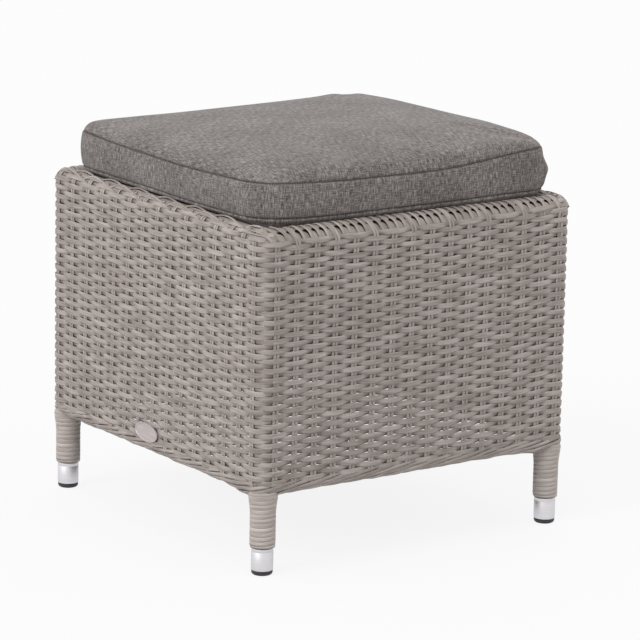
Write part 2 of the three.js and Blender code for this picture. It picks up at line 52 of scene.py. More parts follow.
# Sizes taken from the frame
post_low, post_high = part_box("leg_post_front_right")
HALF_X = (post_low.x + post_high.x) / 2
HALF_Y = -(post_low.y + post_high.y) / 2
TUBE_RADIUS = (post_high.x - post_low.x) / 2
WEAVE_OUTER = -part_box("side_weave_front")[0].y - HALF_Y
RIM_AXIS = sum(end.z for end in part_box("top_rail_front")) / 2
RIM_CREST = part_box("rim_wrap_front")[1].z
HEM_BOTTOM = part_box("hem_wrap_front")[0].z
HEM_AXIS = sum(end.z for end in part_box("low_rail_front")) / 2
HEM_AXIS_OUT = -sum(end.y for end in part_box("low_rail_front")) / 2 - HALF_Y
HEM_RADIUS = WEAVE_OUTER - HEM_AXIS_OUT
SEAT_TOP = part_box("seat_weave")[1].z
tape_low, tape_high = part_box("zip_tape")
ZIP_HALF_RUN = tape_high.x
ZIP_HEIGHT = (tape_low.z + tape_high.z) / 2
TAPE_THICKNESS = 1 * MM
ZIP_FACE = tape_high.y - TAPE_THICKNESS

# The weave: pairs of upright stakes with flat strands that go over one and under the next
STRAND_MIDDLE = 14.5 * MM
STRAND_LIFT = 1.15 * MM
CORNER_LIFT = 1.45 * MM
STAKE_SWAY = 0.6 * MM
STRAND_HALF_THICKNESS = 0.62 * MM
STRAND_HALF_WIDTH = 2.86 * MM
STRAND_STEP = 3.3 * MM
ROW_PITCH = 5.36 * MM
ROW_COUNT = 50
ROLL_ROWS = 4
FIRST_ROW = 105.6 * MM
STAKES_LONG = 16
STAKE_PITCH = 26.2 * MM
STAKE_SHIFT = 1.0 * MM
STAKES_SHORT = 15
LAST_STAKE_BACK = 3 * MM
RIB_APART = 4.2 * MM
RIB_HALF_WIDTH = 1.85 * MM
STAKE_LEAN = 9 * MM
LEAN_FADE = 70 * MM
CORNER_REACH = 14 * MM
WAVINESS = 0.8 * MM
WAVE_ALONG = 110 * MM
WAVE_UP = 70 * MM
TOP_SPREAD = 2.1 * MM
TOP_SPREAD_DEPTH = 46 * MM
ROW_RISES = ((-90, 0), (-10, 1.8), (230, 0.6), (320, 2.4), (400, 6.4), (430, 6.8), (600, 0))
# How much painted shade a row's strand gets at most where it passes under a stake
RECESS_SHADE = 0.9

CORNER_RUN = math.pi / 2 * STRAND_MIDDLE
SIDE_RUNS = (2 * HALF_X, 2 * HALF_Y, 2 * HALF_X, 2 * HALF_Y)
SIDE_STARTS = tuple(sum(SIDE_RUNS[:turn]) + turn * CORNER_RUN for turn in range(4))
LOOP_RUN = sum(SIDE_RUNS) + 4 * CORNER_RUN


def linear(code):
    """A hex colour as linear red, green, blue and alpha."""
    shares = [int(code[i:i + 2], 16) / 255 for i in (1, 3, 5)]
    return [s / 12.92 if s <= 0.04045 else ((s + 0.055) / 1.055) ** 2.4 for s in shares] + [1]


def add(tree, kind, inputs=(), **settings):
    """Adds a node with its settings, and its inputs as values or as links."""
    node = tree.nodes.new(kind)
    for name, value in settings.items():
        setattr(node, name, value)
    for socket, value in dict(inputs).items():
        if isinstance(value, bpy.types.NodeSocket):
            tree.links.new(value, node.inputs[socket])
        else:
            node.inputs[socket].default_value = value
    return node


def attribute(tree, name):
    """What the mesh holds under a name."""
    return add(tree, "ShaderNodeAttribute", attribute_name=name).outputs["Fac"]


def object_place(tree):
    """The place on the object."""
    return add(tree, "ShaderNodeTexCoord").outputs["Object"]


def calculate(tree, operation, *values):
    """The outcome of an operation on values or links."""
    return add(tree, "ShaderNodeMath", enumerate(values), operation=operation).outputs[0]


def mix_colours(tree, share, first, second):
    """The first colour where the share is 0 and the second where it is 1."""
    mixed = add(tree, "ShaderNodeMix", {0: share, "A": first, "B": second}, data_type="RGBA")
    return mixed.outputs["Result"]


def drawn_out_noise(tree, place, scale, detail):
    """Noise with a scale for each direction, drawn out where the scale is small."""
    drawn_out = add(tree, "ShaderNodeMapping", {"Vector": place, "Scale": scale}).outputs[0]
    texture = add(tree, "ShaderNodeTexNoise", {"Vector": drawn_out, "Scale": 1.0, "Detail": detail})
    return texture.outputs["Fac"]


def ramp(node, *stops):
    """Sets a colour ramp's stops, each a place and a hex colour."""
    elements = node.color_ramp.elements
    while len(elements) < len(stops):
        elements.new(0.5)
    for element, (place, code) in zip(elements, stops):
        element.position = place
        element.color = linear(code)
    return node


def new_material(name):
    """An empty node material and its node tree."""
    material = bpy.data.materials.new(name)
    material.use_nodes = True
    material.node_tree.nodes.clear()
    return material, material.node_tree


def finish_material(material, shader):
    """Gives a material its surface."""
    add(material.node_tree, "ShaderNodeOutputMaterial", {"Surface": shader.outputs[0]})
    return material


def follow_texture(material, texture, stops, finish, relief=None, rough=None):
    """Gives a material a surface whose colour follows one texture. Its roughness and its relief follow that
    texture too, where they are given."""
    tree = material.node_tree
    colours = ramp(add(tree, "ShaderNodeValToRGB", {0: texture}), *stops)
    inputs = {"Base Color": colours.outputs[0], **finish}
    if rough:
        spread = add(tree, "ShaderNodeMapRange", {"Value": texture, "To Min": rough[0], "To Max": rough[1]})
        inputs["Roughness"] = spread.outputs[0]
    if relief:
        inputs["Normal"] = add(tree, "ShaderNodeBump", {"Height": texture, **relief}).outputs[0]
    return finish_material(material, add(tree, "ShaderNodeBsdfPrincipled", inputs))


def extruded_rattan(name, *tones):
    """Extruded polyethylene rattan: satin, with fine lengthwise lines and slightly mixed tones from the die.
    It is darkened with painted shade along the lower edge of a strand that lies deep in the weave. The lines
    are drawn about 1.2 mm apart, coarser than real, so that they show."""
    material, tree = new_material(name)
    along, across, tone, recess_shade = [attribute(tree, part) for part in ("along", "across", "tone", "recess_shade")]
    place = add(tree, "ShaderNodeCombineXYZ", {0: along, 1: across, 2: tone}).outputs[0]
    streak = drawn_out_noise(tree, place, (60, 2.2, 40), 3.0)
    blotch = drawn_out_noise(tree, place, (22, 0.4, 90), 1.0)
    half = calculate(tree, "MULTIPLY", calculate(tree, "ADD", streak, blotch), 0.5)
    colours = ramp(add(tree, "ShaderNodeValToRGB", {0: half}), *zip((0.34, 0.5, 0.66), tones))
    # Painted shade: strands that lie deep in the weave are darkened towards #4A423E, most along their lower
    # edge.
    low = add(tree, "ShaderNodeMapRange", {"Value": across, "From Min": -0.2, "From Max": 0.9, "To Min": 0.3})
    painted_shade_share = calculate(tree, "MULTIPLY", recess_shade, low.outputs[0])
    painted_shade_colour = mix_colours(tree, painted_shade_share, colours.outputs[0], linear("#4A423E"))
    waves = calculate(tree, "SINE", calculate(tree, "MULTIPLY", across, 15.0))
    relief = calculate(tree, "ADD", waves, streak)
    bump = add(tree, "ShaderNodeBump", {"Height": relief, "Distance": 0.12 * MM, "Strength": 0.35})
    shader = add(tree, "ShaderNodeBsdfPrincipled", {
        "Base Color": painted_shade_colour, "Roughness": 0.5, "IOR": 1.5, "Normal": bump.outputs[0]})
    return finish_material(material, shader)


def powder_coat():
    """Powder-coated aluminium tube: dark taupe, matt, with an orange-peel skin of about 1 mm."""
    material, tree = new_material("powder_coated_aluminium")
    peel = add(tree, "ShaderNodeTexNoise", {"Vector": object_place(tree), "Scale": 0.9 / MM, "Detail": 2.0})
    return follow_texture(material, peel.outputs["Fac"], ((0.3, "#2B2624"), (0.7, "#3A3431")),
                          {"Roughness": 0.6, "IOR": 1.5}, relief={"Distance": 0.05 * MM, "Strength": 0.4})


def turned_aluminium():
    """Turned aluminium: bright and slightly satin. The lathe's rings run round it, drawn about 0.6 mm apart
    so that they show."""
    material, tree = new_material("turned_aluminium")
    rings = drawn_out_noise(tree, object_place(tree), (4, 4, 1600), 2.0)
    return follow_texture(material, rings, ((0.3, "#D6D4D7"), (0.7, "#E2E0E3")),
                          {"Metallic": 1.0}, relief={"Distance": 0.01 * MM, "Strength": 0.3},
                          rough=(0.52, 0.6))


def moulded_nylon():
    """Moulded black nylon: soft sheen with a spark-eroded grain, drawn at 0.7 mm so that it shows."""
    material, tree = new_material("moulded_black_nylon")
    grain = add(tree, "ShaderNodeTexNoise", {"Vector": object_place(tree), "Scale": 1.5 / MM, "Detail": 1.0})
    return follow_texture(material, grain.outputs["Fac"], ((0.3, "#242326"), (0.7, "#323135")),
                          {"Roughness": 0.5, "IOR": 1.53}, relief={"Distance": 0.04 * MM, "Strength": 0.5})


def melange_linen():
    """Linen-look polyester canvas: mixed grey-brown yarns with slubs.
    The yarns are drawn at about 1 mm, twice their real width, so that they show from a few metres."""
    material, tree = new_material("melange_polyester_canvas")
    place = add(tree, "ShaderNodeUVMap", uv_map="cloth").outputs[0]
    warp = drawn_out_noise(tree, place, (900, 110, 1), 2.0)
    weft = drawn_out_noise(tree, place, (120, 850, 1), 2.0)
    yarns = add(tree, "ShaderNodeMix", {0: 0.42, "A": warp, "B": weft}).outputs[0]
    shade = add(tree, "ShaderNodeTexNoise", {"Vector": place, "Scale": 14.0, "Detail": 2.0})
    mixed = add(tree, "ShaderNodeMix", {0: 0.12, "A": yarns, "B": shade.outputs["Fac"]})
    colours = ramp(add(tree, "ShaderNodeValToRGB", {0: mixed.outputs[0]}),
                   (0.38, "#4D4745"), (0.5, "#7E7774"), (0.62, "#B0A8A5"))
    # Painted shade: the seam groove is darkened nearly to black.
    depth = calculate(tree, "MULTIPLY", attribute(tree, "seam"), 0.85)
    seam_shaded = mix_colours(tree, depth, colours.outputs[0], linear("#1E1C1B"))
    bump = add(tree, "ShaderNodeBump", {"Height": yarns, "Distance": 0.5 * MM, "Strength": 0.6})
    shader = add(tree, "ShaderNodeBsdfPrincipled", {
        "Base Color": seam_shaded, "Roughness": 0.92, "IOR": 1.45, "Sheen Weight": 0.15,
        "Sheen Roughness": 0.5, "Normal": bump.outputs[0]})
    return finish_material(material, shader)


def upholstery_foam():
    """Open-cell foam: pale, quite matt, with pores of about 1.7 mm."""
    material, tree = new_material("open_cell_foam")
    pores = add(tree, "ShaderNodeTexVoronoi", {"Vector": object_place(tree), "Scale": 0.6 / MM})
    return follow_texture(material, pores.outputs["Distance"], ((0.1, "#B9B08F"), (0.6, "#DAD3B8")),
                          {"Roughness": 0.95}, relief={"Distance": 0.6 * MM})


def woven_tape():
    """Woven polyester tape: grey-brown with a close herringbone of about 1 mm."""
    material, tree = new_material("woven_polyester_tape")
    bars = add(tree, "ShaderNodeTexWave",
               {"Vector": object_place(tree), "Scale": 0.32 / MM, "Distortion": 0.6},
               wave_type="BANDS", bands_direction="DIAGONAL")
    return follow_texture(material, bars.outputs["Fac"], ((0.2, "#5B5553"), (0.8, "#7A7371")),
                          {"Roughness": 0.85}, relief={"Distance": 0.2 * MM})


def plated_zinc():
    """Nickel-plated zinc casting: bright, a little soft at the edges from handling."""
    material, tree = new_material("nickel_plated_zinc")
    wear = add(tree, "ShaderNodeTexNoise", {"Vector": object_place(tree), "Scale": 0.4 / MM, "Detail": 3.0})
    return follow_texture(material, wear.outputs["Fac"], ((0.3, "#A9A7A6"), (0.7, "#C4C2C1")),
                          {"Metallic": 1.0}, rough=(0.22, 0.4))


def pressed_plate():
    """Pressed, satin-lacquered aluminium: pale and slightly pink, with a faint brushed grain."""
    material, tree = new_material("satin_lacquered_aluminium")
    brushed = drawn_out_noise(tree, object_place(tree), (300, 40, 1400), 2.0)
    return follow_texture(material, brushed, ((0.3, "#BDB2B1"), (0.7, "#D3C9C8")),
                          {"Metallic": 0.35, "Roughness": 0.42},
                          relief={"Distance": 0.04 * MM, "Strength": 0.5})


RATTAN = extruded_rattan("extruded_polyethylene_rattan", "#958A84", "#B3A8A2", "#CFC5C0")
PALE_RATTAN = extruded_rattan("extruded_polyethylene_rattan_pale", "#B1A59E", "#CDC2BC", "#E3D9D4")
FRAME_COAT = powder_coat()
ALUMINIUM = turned_aluminium()
NYLON = moulded_nylon()
CANVAS = melange_linen()
FOAM = upholstery_foam()
TAPE = woven_tape()
ZINC = plated_zinc()
PLATE = pressed_plate()


def only(items, kind):
    """The items that are of one kind of mesh element."""
    return [item for item in items if isinstance(item, kind)]


def object_from(bm, name):
    """Turns a bmesh into a named object."""
    mesh = bpy.data.meshes.new(name)
    bm.to_mesh(mesh)
    bm.free()
    return bpy.data.objects.new(name, mesh)


def piece_from(bm, name, material, body, smooth=True):
    """Turns a bmesh into a named piece that rides on a body."""
    piece = object_from(bm, name)
    bpy.context.scene.collection.objects.link(piece)
    return dress(piece, material, body, smooth)


def dress(piece, material, body, smooth=True):
    """Gives a piece its material, its smooth or flat shading and its body."""
    piece.data.materials.clear()
    piece.data.materials.append(material)
    for face in piece.data.polygons:
        face.use_smooth = smooth
    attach(piece, body)
    return piece


# Strands
SECTION_SIDES = 8
SECTION_POWER = 0.6


def squared(value):
    """Moves a place on a circle out towards a square's, for a flat section with rounded edges."""
    return math.copysign(abs(value) ** SECTION_POWER, value)


def ring_matrix(centre, outward, ahead, half_width, half_thickness):
    """The place of a strand's section: its width lies across the way ahead, its thickness outward."""
    across = ahead.cross(outward).normalized()
    proud = across.cross(ahead).normalized()
    matrix = Matrix((across * half_width, proud * half_thickness, ahead.normalized() * MM)).transposed()
    matrix = matrix.to_4x4()
    matrix.translation = centre
    return matrix


def strand(stations, tone):
    """A flat strand through stations of centre, outward direction, half width, half thickness and, where it
    lies deep in the weave, how deep from 0 to 1, which sets how much painted shade it gets."""
    centres = [station[0] for station in stations]
    matrices = []
    for i, (centre, outward, half_width, half_thickness, *_) in enumerate(stations):
        ahead = centres[min(i + 1, len(centres) - 1)] - centres[max(i - 1, 0)]
        matrices.append(ring_matrix(centre, outward, ahead, half_width, half_thickness))
    bm = bmesh.new()
    along = bm.verts.layers.float.new("along")
    across = bm.verts.layers.float.new("across")
    shade = bm.verts.layers.float.new("tone")
    recess_shade = bm.verts.layers.float.new("recess_shade")
    depths = [station[4] if len(station) > 4 else 0 for station in stations]
    ring = bmesh.ops.create_circle(bm, segments=SECTION_SIDES, radius=1, cap_ends=True)["verts"]
    turn = math.pi / SECTION_SIDES
    for vert in ring:
        x, y, _ = Matrix.Rotation(turn, 3, "Z") @ vert.co
        vert.co.x = squared(x)
        vert.co.y = squared(y)
        vert[across] = vert.co.x
        vert[shade] = tone
        vert[recess_shade] = depths[0]
    bmesh.ops.transform(bm, matrix=matrices[0], verts=ring)
    edges = list(bm.edges)
    run = 0.0
    for i in range(1, len(matrices)):
        grown = bmesh.ops.extrude_edge_only(bm, edges=edges)["geom"]
        ring = only(grown, bmesh.types.BMVert)
        edges = only(grown, bmesh.types.BMEdge)
        run += (centres[i] - centres[i - 1]).length
        step = matrices[i] @ matrices[i - 1].inverted()
        for vert in ring:
            vert[along] = run
            vert[recess_shade] = depths[i]
            vert.co = step @ vert.co
    bmesh.ops.edgeloop_fill(bm, edges=edges)
    bmesh.ops.recalc_face_normals(bm, faces=bm.faces)
    return object_from(bm, "strand")


def bundle(name, strands, *stands_for):
    """Joins strands into one woven piece that stands for CAD nodes."""
    for item in strands:
        bpy.context.scene.collection.objects.link(item)
    first = strands[0]
    with bpy.context.temp_override(active_object=first, object=first, selected_editable_objects=strands,
                                   selected_objects=strands):
        bpy.ops.object.join()
    first.name = first.data.name = name
    dress(first, RATTAN, "stool")
    if stands_for:
        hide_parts(*stands_for)
    return first


# Seeds are spread out so that whole numbers don't fall on the places where the noise is always zero
SEED_STEP, SEED_START = 3.71, 0.37


def chance(*seeds):
    """A steady random value from -1 to 1 for these seeds."""
    places = [seed * SEED_STEP + SEED_START for seed in seeds]
    return noise.noise(Vector(places + [0.5] * (3 - len(seeds)))) * 2


def blend_share(value, low, high):
    """0 below low, 1 above high and smooth in between."""
    share = min(max((value - low) / (high - low), 0), 1)
    return share * share * (3 - 2 * share)


def raised(outward, angle):
    """The direction that a level one becomes when it is turned up by an angle."""
    return outward * math.cos(angle) + UP * math.sin(angle)


def side_place(turn, ahead):
    """A point of a side's leg-axis line, past its ends too, and the side's outward direction."""
    spin = Matrix.Rotation(turn * math.pi / 2, 3, "Z")
    half_run = SIDE_RUNS[turn] / 2
    half_deep = (HALF_Y, HALF_X)[turn % 2]
    return spin @ Vector((ahead - half_run, -half_deep, 0)), spin @ Vector((0, -1, 0))


def on_loop(run):
    """The point of the leg-axis rectangle, and the outward direction, at a run round the stool."""
    run %= LOOP_RUN
    for turn, (start, length) in enumerate(zip(SIDE_STARTS, SIDE_RUNS)):
        if run <= start + length + CORNER_RUN:
            break
    point, outward = side_place(turn, min(max(run - start, 0), length))
    angle = max(run - start - length, 0) / CORNER_RUN * math.pi / 2
    return point, Matrix.Rotation(angle, 3, "Z") @ outward


def wander(run, size, seed):
    """A steady random value from -1 to 1 that changes over a size along the run. It meets itself after
    a round."""
    point, outward = on_loop(run)
    spot = (point + outward * STRAND_MIDDLE) / size
    return noise.noise(Vector((spot.x, spot.y, seed * SEED_STEP + SEED_START))) * 2


def stake_runs():
    """Where each stake stands, as runs round the stool."""
    runs = []
    for turn, (start, length) in enumerate(zip(SIDE_STARTS, SIDE_RUNS)):
        if turn % 2 == 0:
            first = start + length / 2 - (STAKES_LONG - 1) / 2 * STAKE_PITCH + STAKE_SHIFT
            runs += [first + k * STAKE_PITCH for k in range(STAKES_LONG)]
        else:
            pitch = length / (STAKES_SHORT - 1)
            runs += [start + k * pitch for k in range(STAKES_SHORT)]
    runs[-1] -= LAST_STAKE_BACK
    return runs


STAKES = stake_runs()
STAKES_AROUND = [STAKES[-1] - LOOP_RUN] + STAKES + [STAKES[0] + LOOP_RUN, STAKES[1] + LOOP_RUN]


def side_stakes(turn):
    """The numbers of the stakes of a side and of the corner at its end."""
    start = SIDE_STARTS[turn]
    end = start + SIDE_RUNS[turn] + CORNER_RUN
    return [k for k, run in enumerate(STAKES) if start - MM <= run < end - MM]


def phase(run):
    """The stake number at a run, with the share of the way to the next stake."""
    k = bisect.bisect_right(STAKES_AROUND, run) - 1
    k = min(max(k, 0), len(STAKES_AROUND) - 2)
    return k - 1 + (run - STAKES_AROUND[k]) / (STAKES_AROUND[k + 1] - STAKES_AROUND[k])


def lean(run, height):
    """How far the stakes lean along the run at a height. They lean only on the left and right sides, away
    from the legs."""
    run %= LOOP_RUN
    weight = 0.0
    for turn in (1, 3):
        ahead = run - SIDE_STARTS[turn]
        if 0 <= ahead <= SIDE_RUNS[turn]:
            weight = min(1.0, ahead / LEAN_FADE, (SIDE_RUNS[turn] - ahead) / LEAN_FADE)
    return STAKE_LEAN * weight * (height - HEM_BOTTOM) / (RIM_AXIS - HEM_BOTTOM)


def flattened(wave):
    """A wave from -1 to 1 with broader tops and steeper flanks, as a strand has round its stakes."""
    return wave * (1.35 - 0.35 * wave * wave)


def lift_at(run, row, height):
    """1 where a row's strand passes over a stake, -1 where it passes under one."""
    return flattened(math.cos(math.pi * (phase(run - lean(run, height)) + row)))


def corner_share(run):
    """1 on the corners and 0 well inside a side."""
    run %= LOOP_RUN
    for start, length in zip(SIDE_STARTS, SIDE_RUNS):
        if start <= run <= start + length:
            return max(0.0, 1 - min(run - start, start + length - run) / CORNER_REACH)
    return 1.0


def row_rise(run):
    """How far the rows climb above their even places: most at the front right corner."""
    run = (run + LOOP_RUN / 2) % LOOP_RUN - LOOP_RUN / 2
    for (start, low), (end, high) in zip(ROW_RISES, ROW_RISES[1:]):
        if start * MM <= run < end * MM:
            return (low + (high - low) * blend_share(run, start * MM, end * MM)) * MM
    return 0.0


def waviness(run, height):
    """How far the rows wander up and down together. The last ones spread towards the rim."""
    share = (height - HEM_BOTTOM) / (RIM_AXIS - HEM_BOTTOM)
    point, _ = on_loop(run)
    spot = Vector((point.x / WAVE_ALONG, point.y / WAVE_ALONG, height / WAVE_UP))
    sway = WAVINESS * 2 * noise.noise(spot) * math.sin(math.pi * min(max(share, 0), 1))
    top = blend_share(height, RIM_AXIS - TOP_SPREAD_DEPTH, RIM_AXIS - 2 * MM)
    return sway + row_rise(run) + TOP_SPREAD * top


def on_skin(run, height, radius):
    """A point of the basket's skin and its outward direction. Above the rim's axis the height runs on over
    the roll."""
    point, outward = on_loop(run)
    angle = max(height - RIM_AXIS, 0) / STRAND_MIDDLE
    facing = raised(outward, angle)
    return point + UP * min(height, RIM_AXIS) + facing * radius, facing


# How strands and stakes stray from their even places: by how much, and over what length
ROW_STRAY, ROW_STRAY_RUN = 0.14 * MM, 12 * MM
WIDTH_STRAY, WIDTH_STRAY_RUN = 0.05, 8 * MM
DEPTH_STRAY, DEPTH_STRAY_RUN = 0.12 * MM, 6 * MM
TILT_STRAY, TILT_STRAY_RUN = math.radians(5), 14 * MM
STAKE_STRAY, STAKE_STRAY_RUN = 0.3 * MM, 40 * MM

# How much wider a row's strand lies over a stake, on its way through, and under a stake
WIDER_OVER = 0.36 * MM
WIDER_THROUGH = 0.12 * MM
WIDER_UNDER = 0.12 * MM
WIDER_UNDER_CORNER = 0.25 * MM
WIDER_UNDER_SHORT_SIDE = 0.38 * MM
NARROWER_ON_ROLL = 0.25 * MM

# Places of a row's strand: how much higher it lies under a stake, how deep its ends go, how a row beside a
# wound rim lies, and how the row below the first one hides where the rows don't climb
UNDER_RISE = 0.5 * MM
END_TUCK = 0.7 * MM
LAST_ROW_OUT, LAST_ROW_LIFT = 0.9 * MM, 0.5 * MM
SHOWN_BY_RISE = (1.9 * MM, 4.5 * MM)
HIDDEN_IN, HIDDEN_UP = 3.5 * MM, 4 * MM
CORNER_OUT_ON_ROLL = 0.4 * MM


def row_strand(turn, row):
    """One side's length of a row, with the corner at its end, and both corners where it lies on the roll."""
    height = FIRST_ROW + row * ROW_PITCH
    start = SIDE_STARTS[turn] - STRAND_STEP
    length = SIDE_RUNS[turn] + CORNER_RUN + 2 * STRAND_STEP
    if row > ROW_COUNT:
        start -= CORNER_RUN
        length += CORNER_RUN
    steps = round(length / STRAND_STEP)
    stations = []
    for i in range(steps + 1):
        run = start + length * i / steps
        lift = lift_at(run, row, height)
        near = corner_share(run)
        under = (1 - lift) / 2
        stray = ROW_STRAY * wander(run, ROW_STRAY_RUN, row)
        z = height + waviness(run, height) + stray + UNDER_RISE * under
        wider_under = WIDER_UNDER + WIDER_UNDER_CORNER * near + WIDER_UNDER_SHORT_SIDE * (turn % 2)
        half_width = STRAND_HALF_WIDTH + WIDER_OVER * lift + WIDER_THROUGH * (1 - lift * lift)
        half_width += wider_under * under
        half_width -= NARROWER_ON_ROLL * blend_share(height, RIM_AXIS, RIM_AXIS + 8 * MM)
        half_width *= 1 + WIDTH_STRAY * wander(run, WIDTH_STRAY_RUN, row + 0.3)
        reach = STRAND_LIFT + (CORNER_LIFT - STRAND_LIFT) * near
        radius = STRAND_MIDDLE + reach * lift + DEPTH_STRAY * wander(run, DEPTH_STRAY_RUN, row + 0.6)
        if row == ROW_COUNT and turn % 2 == 0:
            radius = STRAND_MIDDLE + LAST_ROW_OUT + LAST_ROW_LIFT * lift
        if i in (0, steps):
            radius -= END_TUCK
        if row < 0:
            hidden = 1 - blend_share(row_rise(run), *SHOWN_BY_RISE)
            radius -= HIDDEN_IN * hidden
            z += HIDDEN_UP * hidden
        if row > ROW_COUNT:
            radius += CORNER_OUT_ON_ROLL * near
        centre, outward = on_skin(run, z, radius)
        facing = raised(outward, TILT_STRAY * wander(run, TILT_STRAY_RUN, row + 0.8))
        # Painted shade where the strand passes under a stake, less on the corners
        depth = RECESS_SHADE * blend_share(-lift, 0.1, 0.9) * (1 - 0.6 * near)
        stations.append((centre, facing, half_width, STRAND_HALF_THICKNESS, depth))
    return strand(stations, row % 2 * 0.5 + chance(row, 1.7) * 0.5)


def stake_ribs(k, bottom, top):
    """The two ribs of a stake, from the hem up to the rim."""
    ribs = []
    for side in (-1, 1):
        stations = []
        steps = round((top - bottom) / (ROW_PITCH / 2))
        for i in range(steps + 1):
            z = bottom + (top - bottom) * i / steps
            row = (z - FIRST_ROW) / ROW_PITCH
            stray = STAKE_STRAY * chance(k, z / STAKE_STRAY_RUN, side)
            run = STAKES[k] + lean(STAKES[k], z) + side * RIB_APART / 2 + stray
            proud = 0.5 * MM * blend_share(z, RIM_AXIS, RIM_AXIS + 6 * MM)
            radius = STRAND_MIDDLE + proud - math.cos(math.pi * (row + k)) * STAKE_SWAY
            centre, outward = on_skin(run, z + waviness(run, z), radius)
            stations.append((centre, outward, RIB_HALF_WIDTH, STRAND_HALF_THICKNESS))
        ribs.append(strand(stations, chance(k, side, 4.0)))
    return ribs


def woven_side(turn):
    """A side of the basket: its rows, its corner and its stakes."""
    rolled = turn % 2 == 1
    rows = ROW_COUNT + (ROLL_ROWS if rolled else 1)
    strands = [row_strand(turn, row) for row in range(-1, rows)]
    top = RIM_AXIS + (15 * MM if rolled else 1 * MM)
    for k in side_stakes(turn):
        strands += stake_ribs(k, HEM_BOTTOM + 3 * MM, top)
    corner = CORNERS[(turn + 1) % 4]
    return bundle("woven_side_" + TURNS[turn], strands,
                  "side_weave_" + TURNS[turn], "corner_weave_" + corner)


# The rim: strands wound round the top rails. Angles over its roll are in degrees, from 0 outward to 90 at
# the crest
WRAPS_PER_TWO_STAKES = 5
WRAP_RADIUS = 15.2 * MM
WRAP_SHIFT = -4 * MM
WRAP_SLANT = -6.5 * MM
WRAP_STRAY = 0.5 * MM
LAST_WRAP_PAST = 13 * MM
BRIDGE_FULL, BRIDGE_OVER = 6 * MM, 32 * MM
BRIDGE_RISE = 0.8 * MM
BRIDGE_RUN_BACK = 18 * MM
WRAP_STEPS = 26
WRAP_FROM, WRAP_SWEEP = 3, 181
EYE_OPENS = (31, 51)
EYE_CLOSES = (55, 64)
WRAP_HALF_THICKNESS = 0.68 * MM
CAP_STEPS = 16
CAP_FROM, CAP_SWEEP = 30, 140
CAP_RADIUS = WRAP_RADIUS - 0.9 * MM
LONG_RIB_STEPS = 21
LONG_RIB_APART = 1.9 * MM
LONG_RIB_FOOT, LONG_RIB_FOOT_STEP, LONG_RIB_FOOT_STEPS = 9.5 * MM, 2.2 * MM, 5
LONG_RIB_HALF_THICKNESS = 0.7 * MM
LINER_STEP = 6 * MM
LINER_RADIUS = 13.9 * MM
ARCH_RUN = 70 * MM
ARCH_STEPS = 32
ARCH_RISE_SHARE = 0.2
ARCH_PEAKS = (72, 92)
ARCH_DROP, ARCH_BEFORE = 42, 8 * MM
LAST_ARCH_DROP, LAST_ARCH_BEFORE = 88, 2 * MM

# The two ribs of a wrap, in mm: how proud a rib lies, how far aside of the wrap's middle and how wide by
# half, both of these outside the eye and in it, and how much painted shade it gets
WRAP_SHAPES = ({"proud": 1.1, "aside": -2.4, "eye_aside": -2.2, "half": 2.2, "eye_half": 1.5, "painted_shade": 0},
               {"proud": -0.1, "aside": 1.9, "eye_aside": 0.3, "half": 3.6, "eye_half": 1.7, "painted_shade": 0.35})


def on_rim(run, angle, radius):
    """A point of the rim's roll and its outward direction. Angle 0 faces outward and a quarter turn is the
    crest."""
    point, outward = on_loop(run)
    facing = raised(outward, angle)
    return point + UP * RIM_AXIS + facing * radius, facing


def wrap_slant(angle):
    """How far a rim's wraps run aside on their way up over the roll."""
    return WRAP_SLANT * math.sin(min(max(angle, 0), math.pi / 2)) ** 1.3


def over_roll(turn, ahead, angle, proud):
    """A point on a front or back rim's roll and its outward direction. Near the side's start, where the
    strands bridge the inner corner, the roll runs on level behind its crest."""
    near = 1 - blend_share(ahead, BRIDGE_FULL, BRIDGE_OVER)
    aside = ahead + wrap_slant(angle) * (1 + 0.7 * near)
    past = max(ahead - SIDE_RUNS[turn], -aside, 0)
    point, outward = side_place(turn, aside)
    roll = math.sqrt(max(WRAP_RADIUS ** 2 - past ** 2, 0)) + proud
    roll += BRIDGE_RISE * near * math.sin(max(angle, 0))
    if near > 0 and angle > math.pi / 2:
        back = (angle - math.pi / 2) * BRIDGE_RUN_BACK * near
        return point + UP * (RIM_AXIS + roll) - outward * back, UP
    facing = raised(outward, angle)
    return point + UP * RIM_AXIS + facing * roll, facing


def wrap_ribs(turn, ahead, seed):
    """One wrap of a front or back rim: a proud rib and a flatter one, with an eye before the next wrap."""
    past = max(ahead - SIDE_RUNS[turn], 0)
    ribs = []
    if ahead < 0 or past > LAST_WRAP_PAST:
        return ribs
    stray = WRAP_STRAY * chance(seed, 3.0)
    for rib, shape in enumerate(WRAP_SHAPES):
        stations = []
        for i in range(WRAP_STEPS + 1):
            degrees = WRAP_FROM + WRAP_SWEEP * i / WRAP_STEPS
            angle = math.radians(degrees)
            eye = blend_share(degrees, *EYE_OPENS) * (1 - blend_share(degrees, *EYE_CLOSES))
            offset = (shape["aside"] + (shape["eye_aside"] - shape["aside"]) * eye) * MM
            half_width = (shape["half"] + (shape["eye_half"] - shape["half"]) * eye) * MM
            proud = shape["proud"] * blend_share(degrees, 0, 40)
            rise = (proud - 0.5 + 0.2 * chance(seed, rib, 6.0)) * MM
            point, facing = over_roll(turn, ahead + offset + stray, angle, rise)
            stations.append((point, facing, half_width, WRAP_HALF_THICKNESS, shape["painted_shade"]))
        ribs.append(strand(stations, chance(seed, rib, 8.0)))
    return ribs


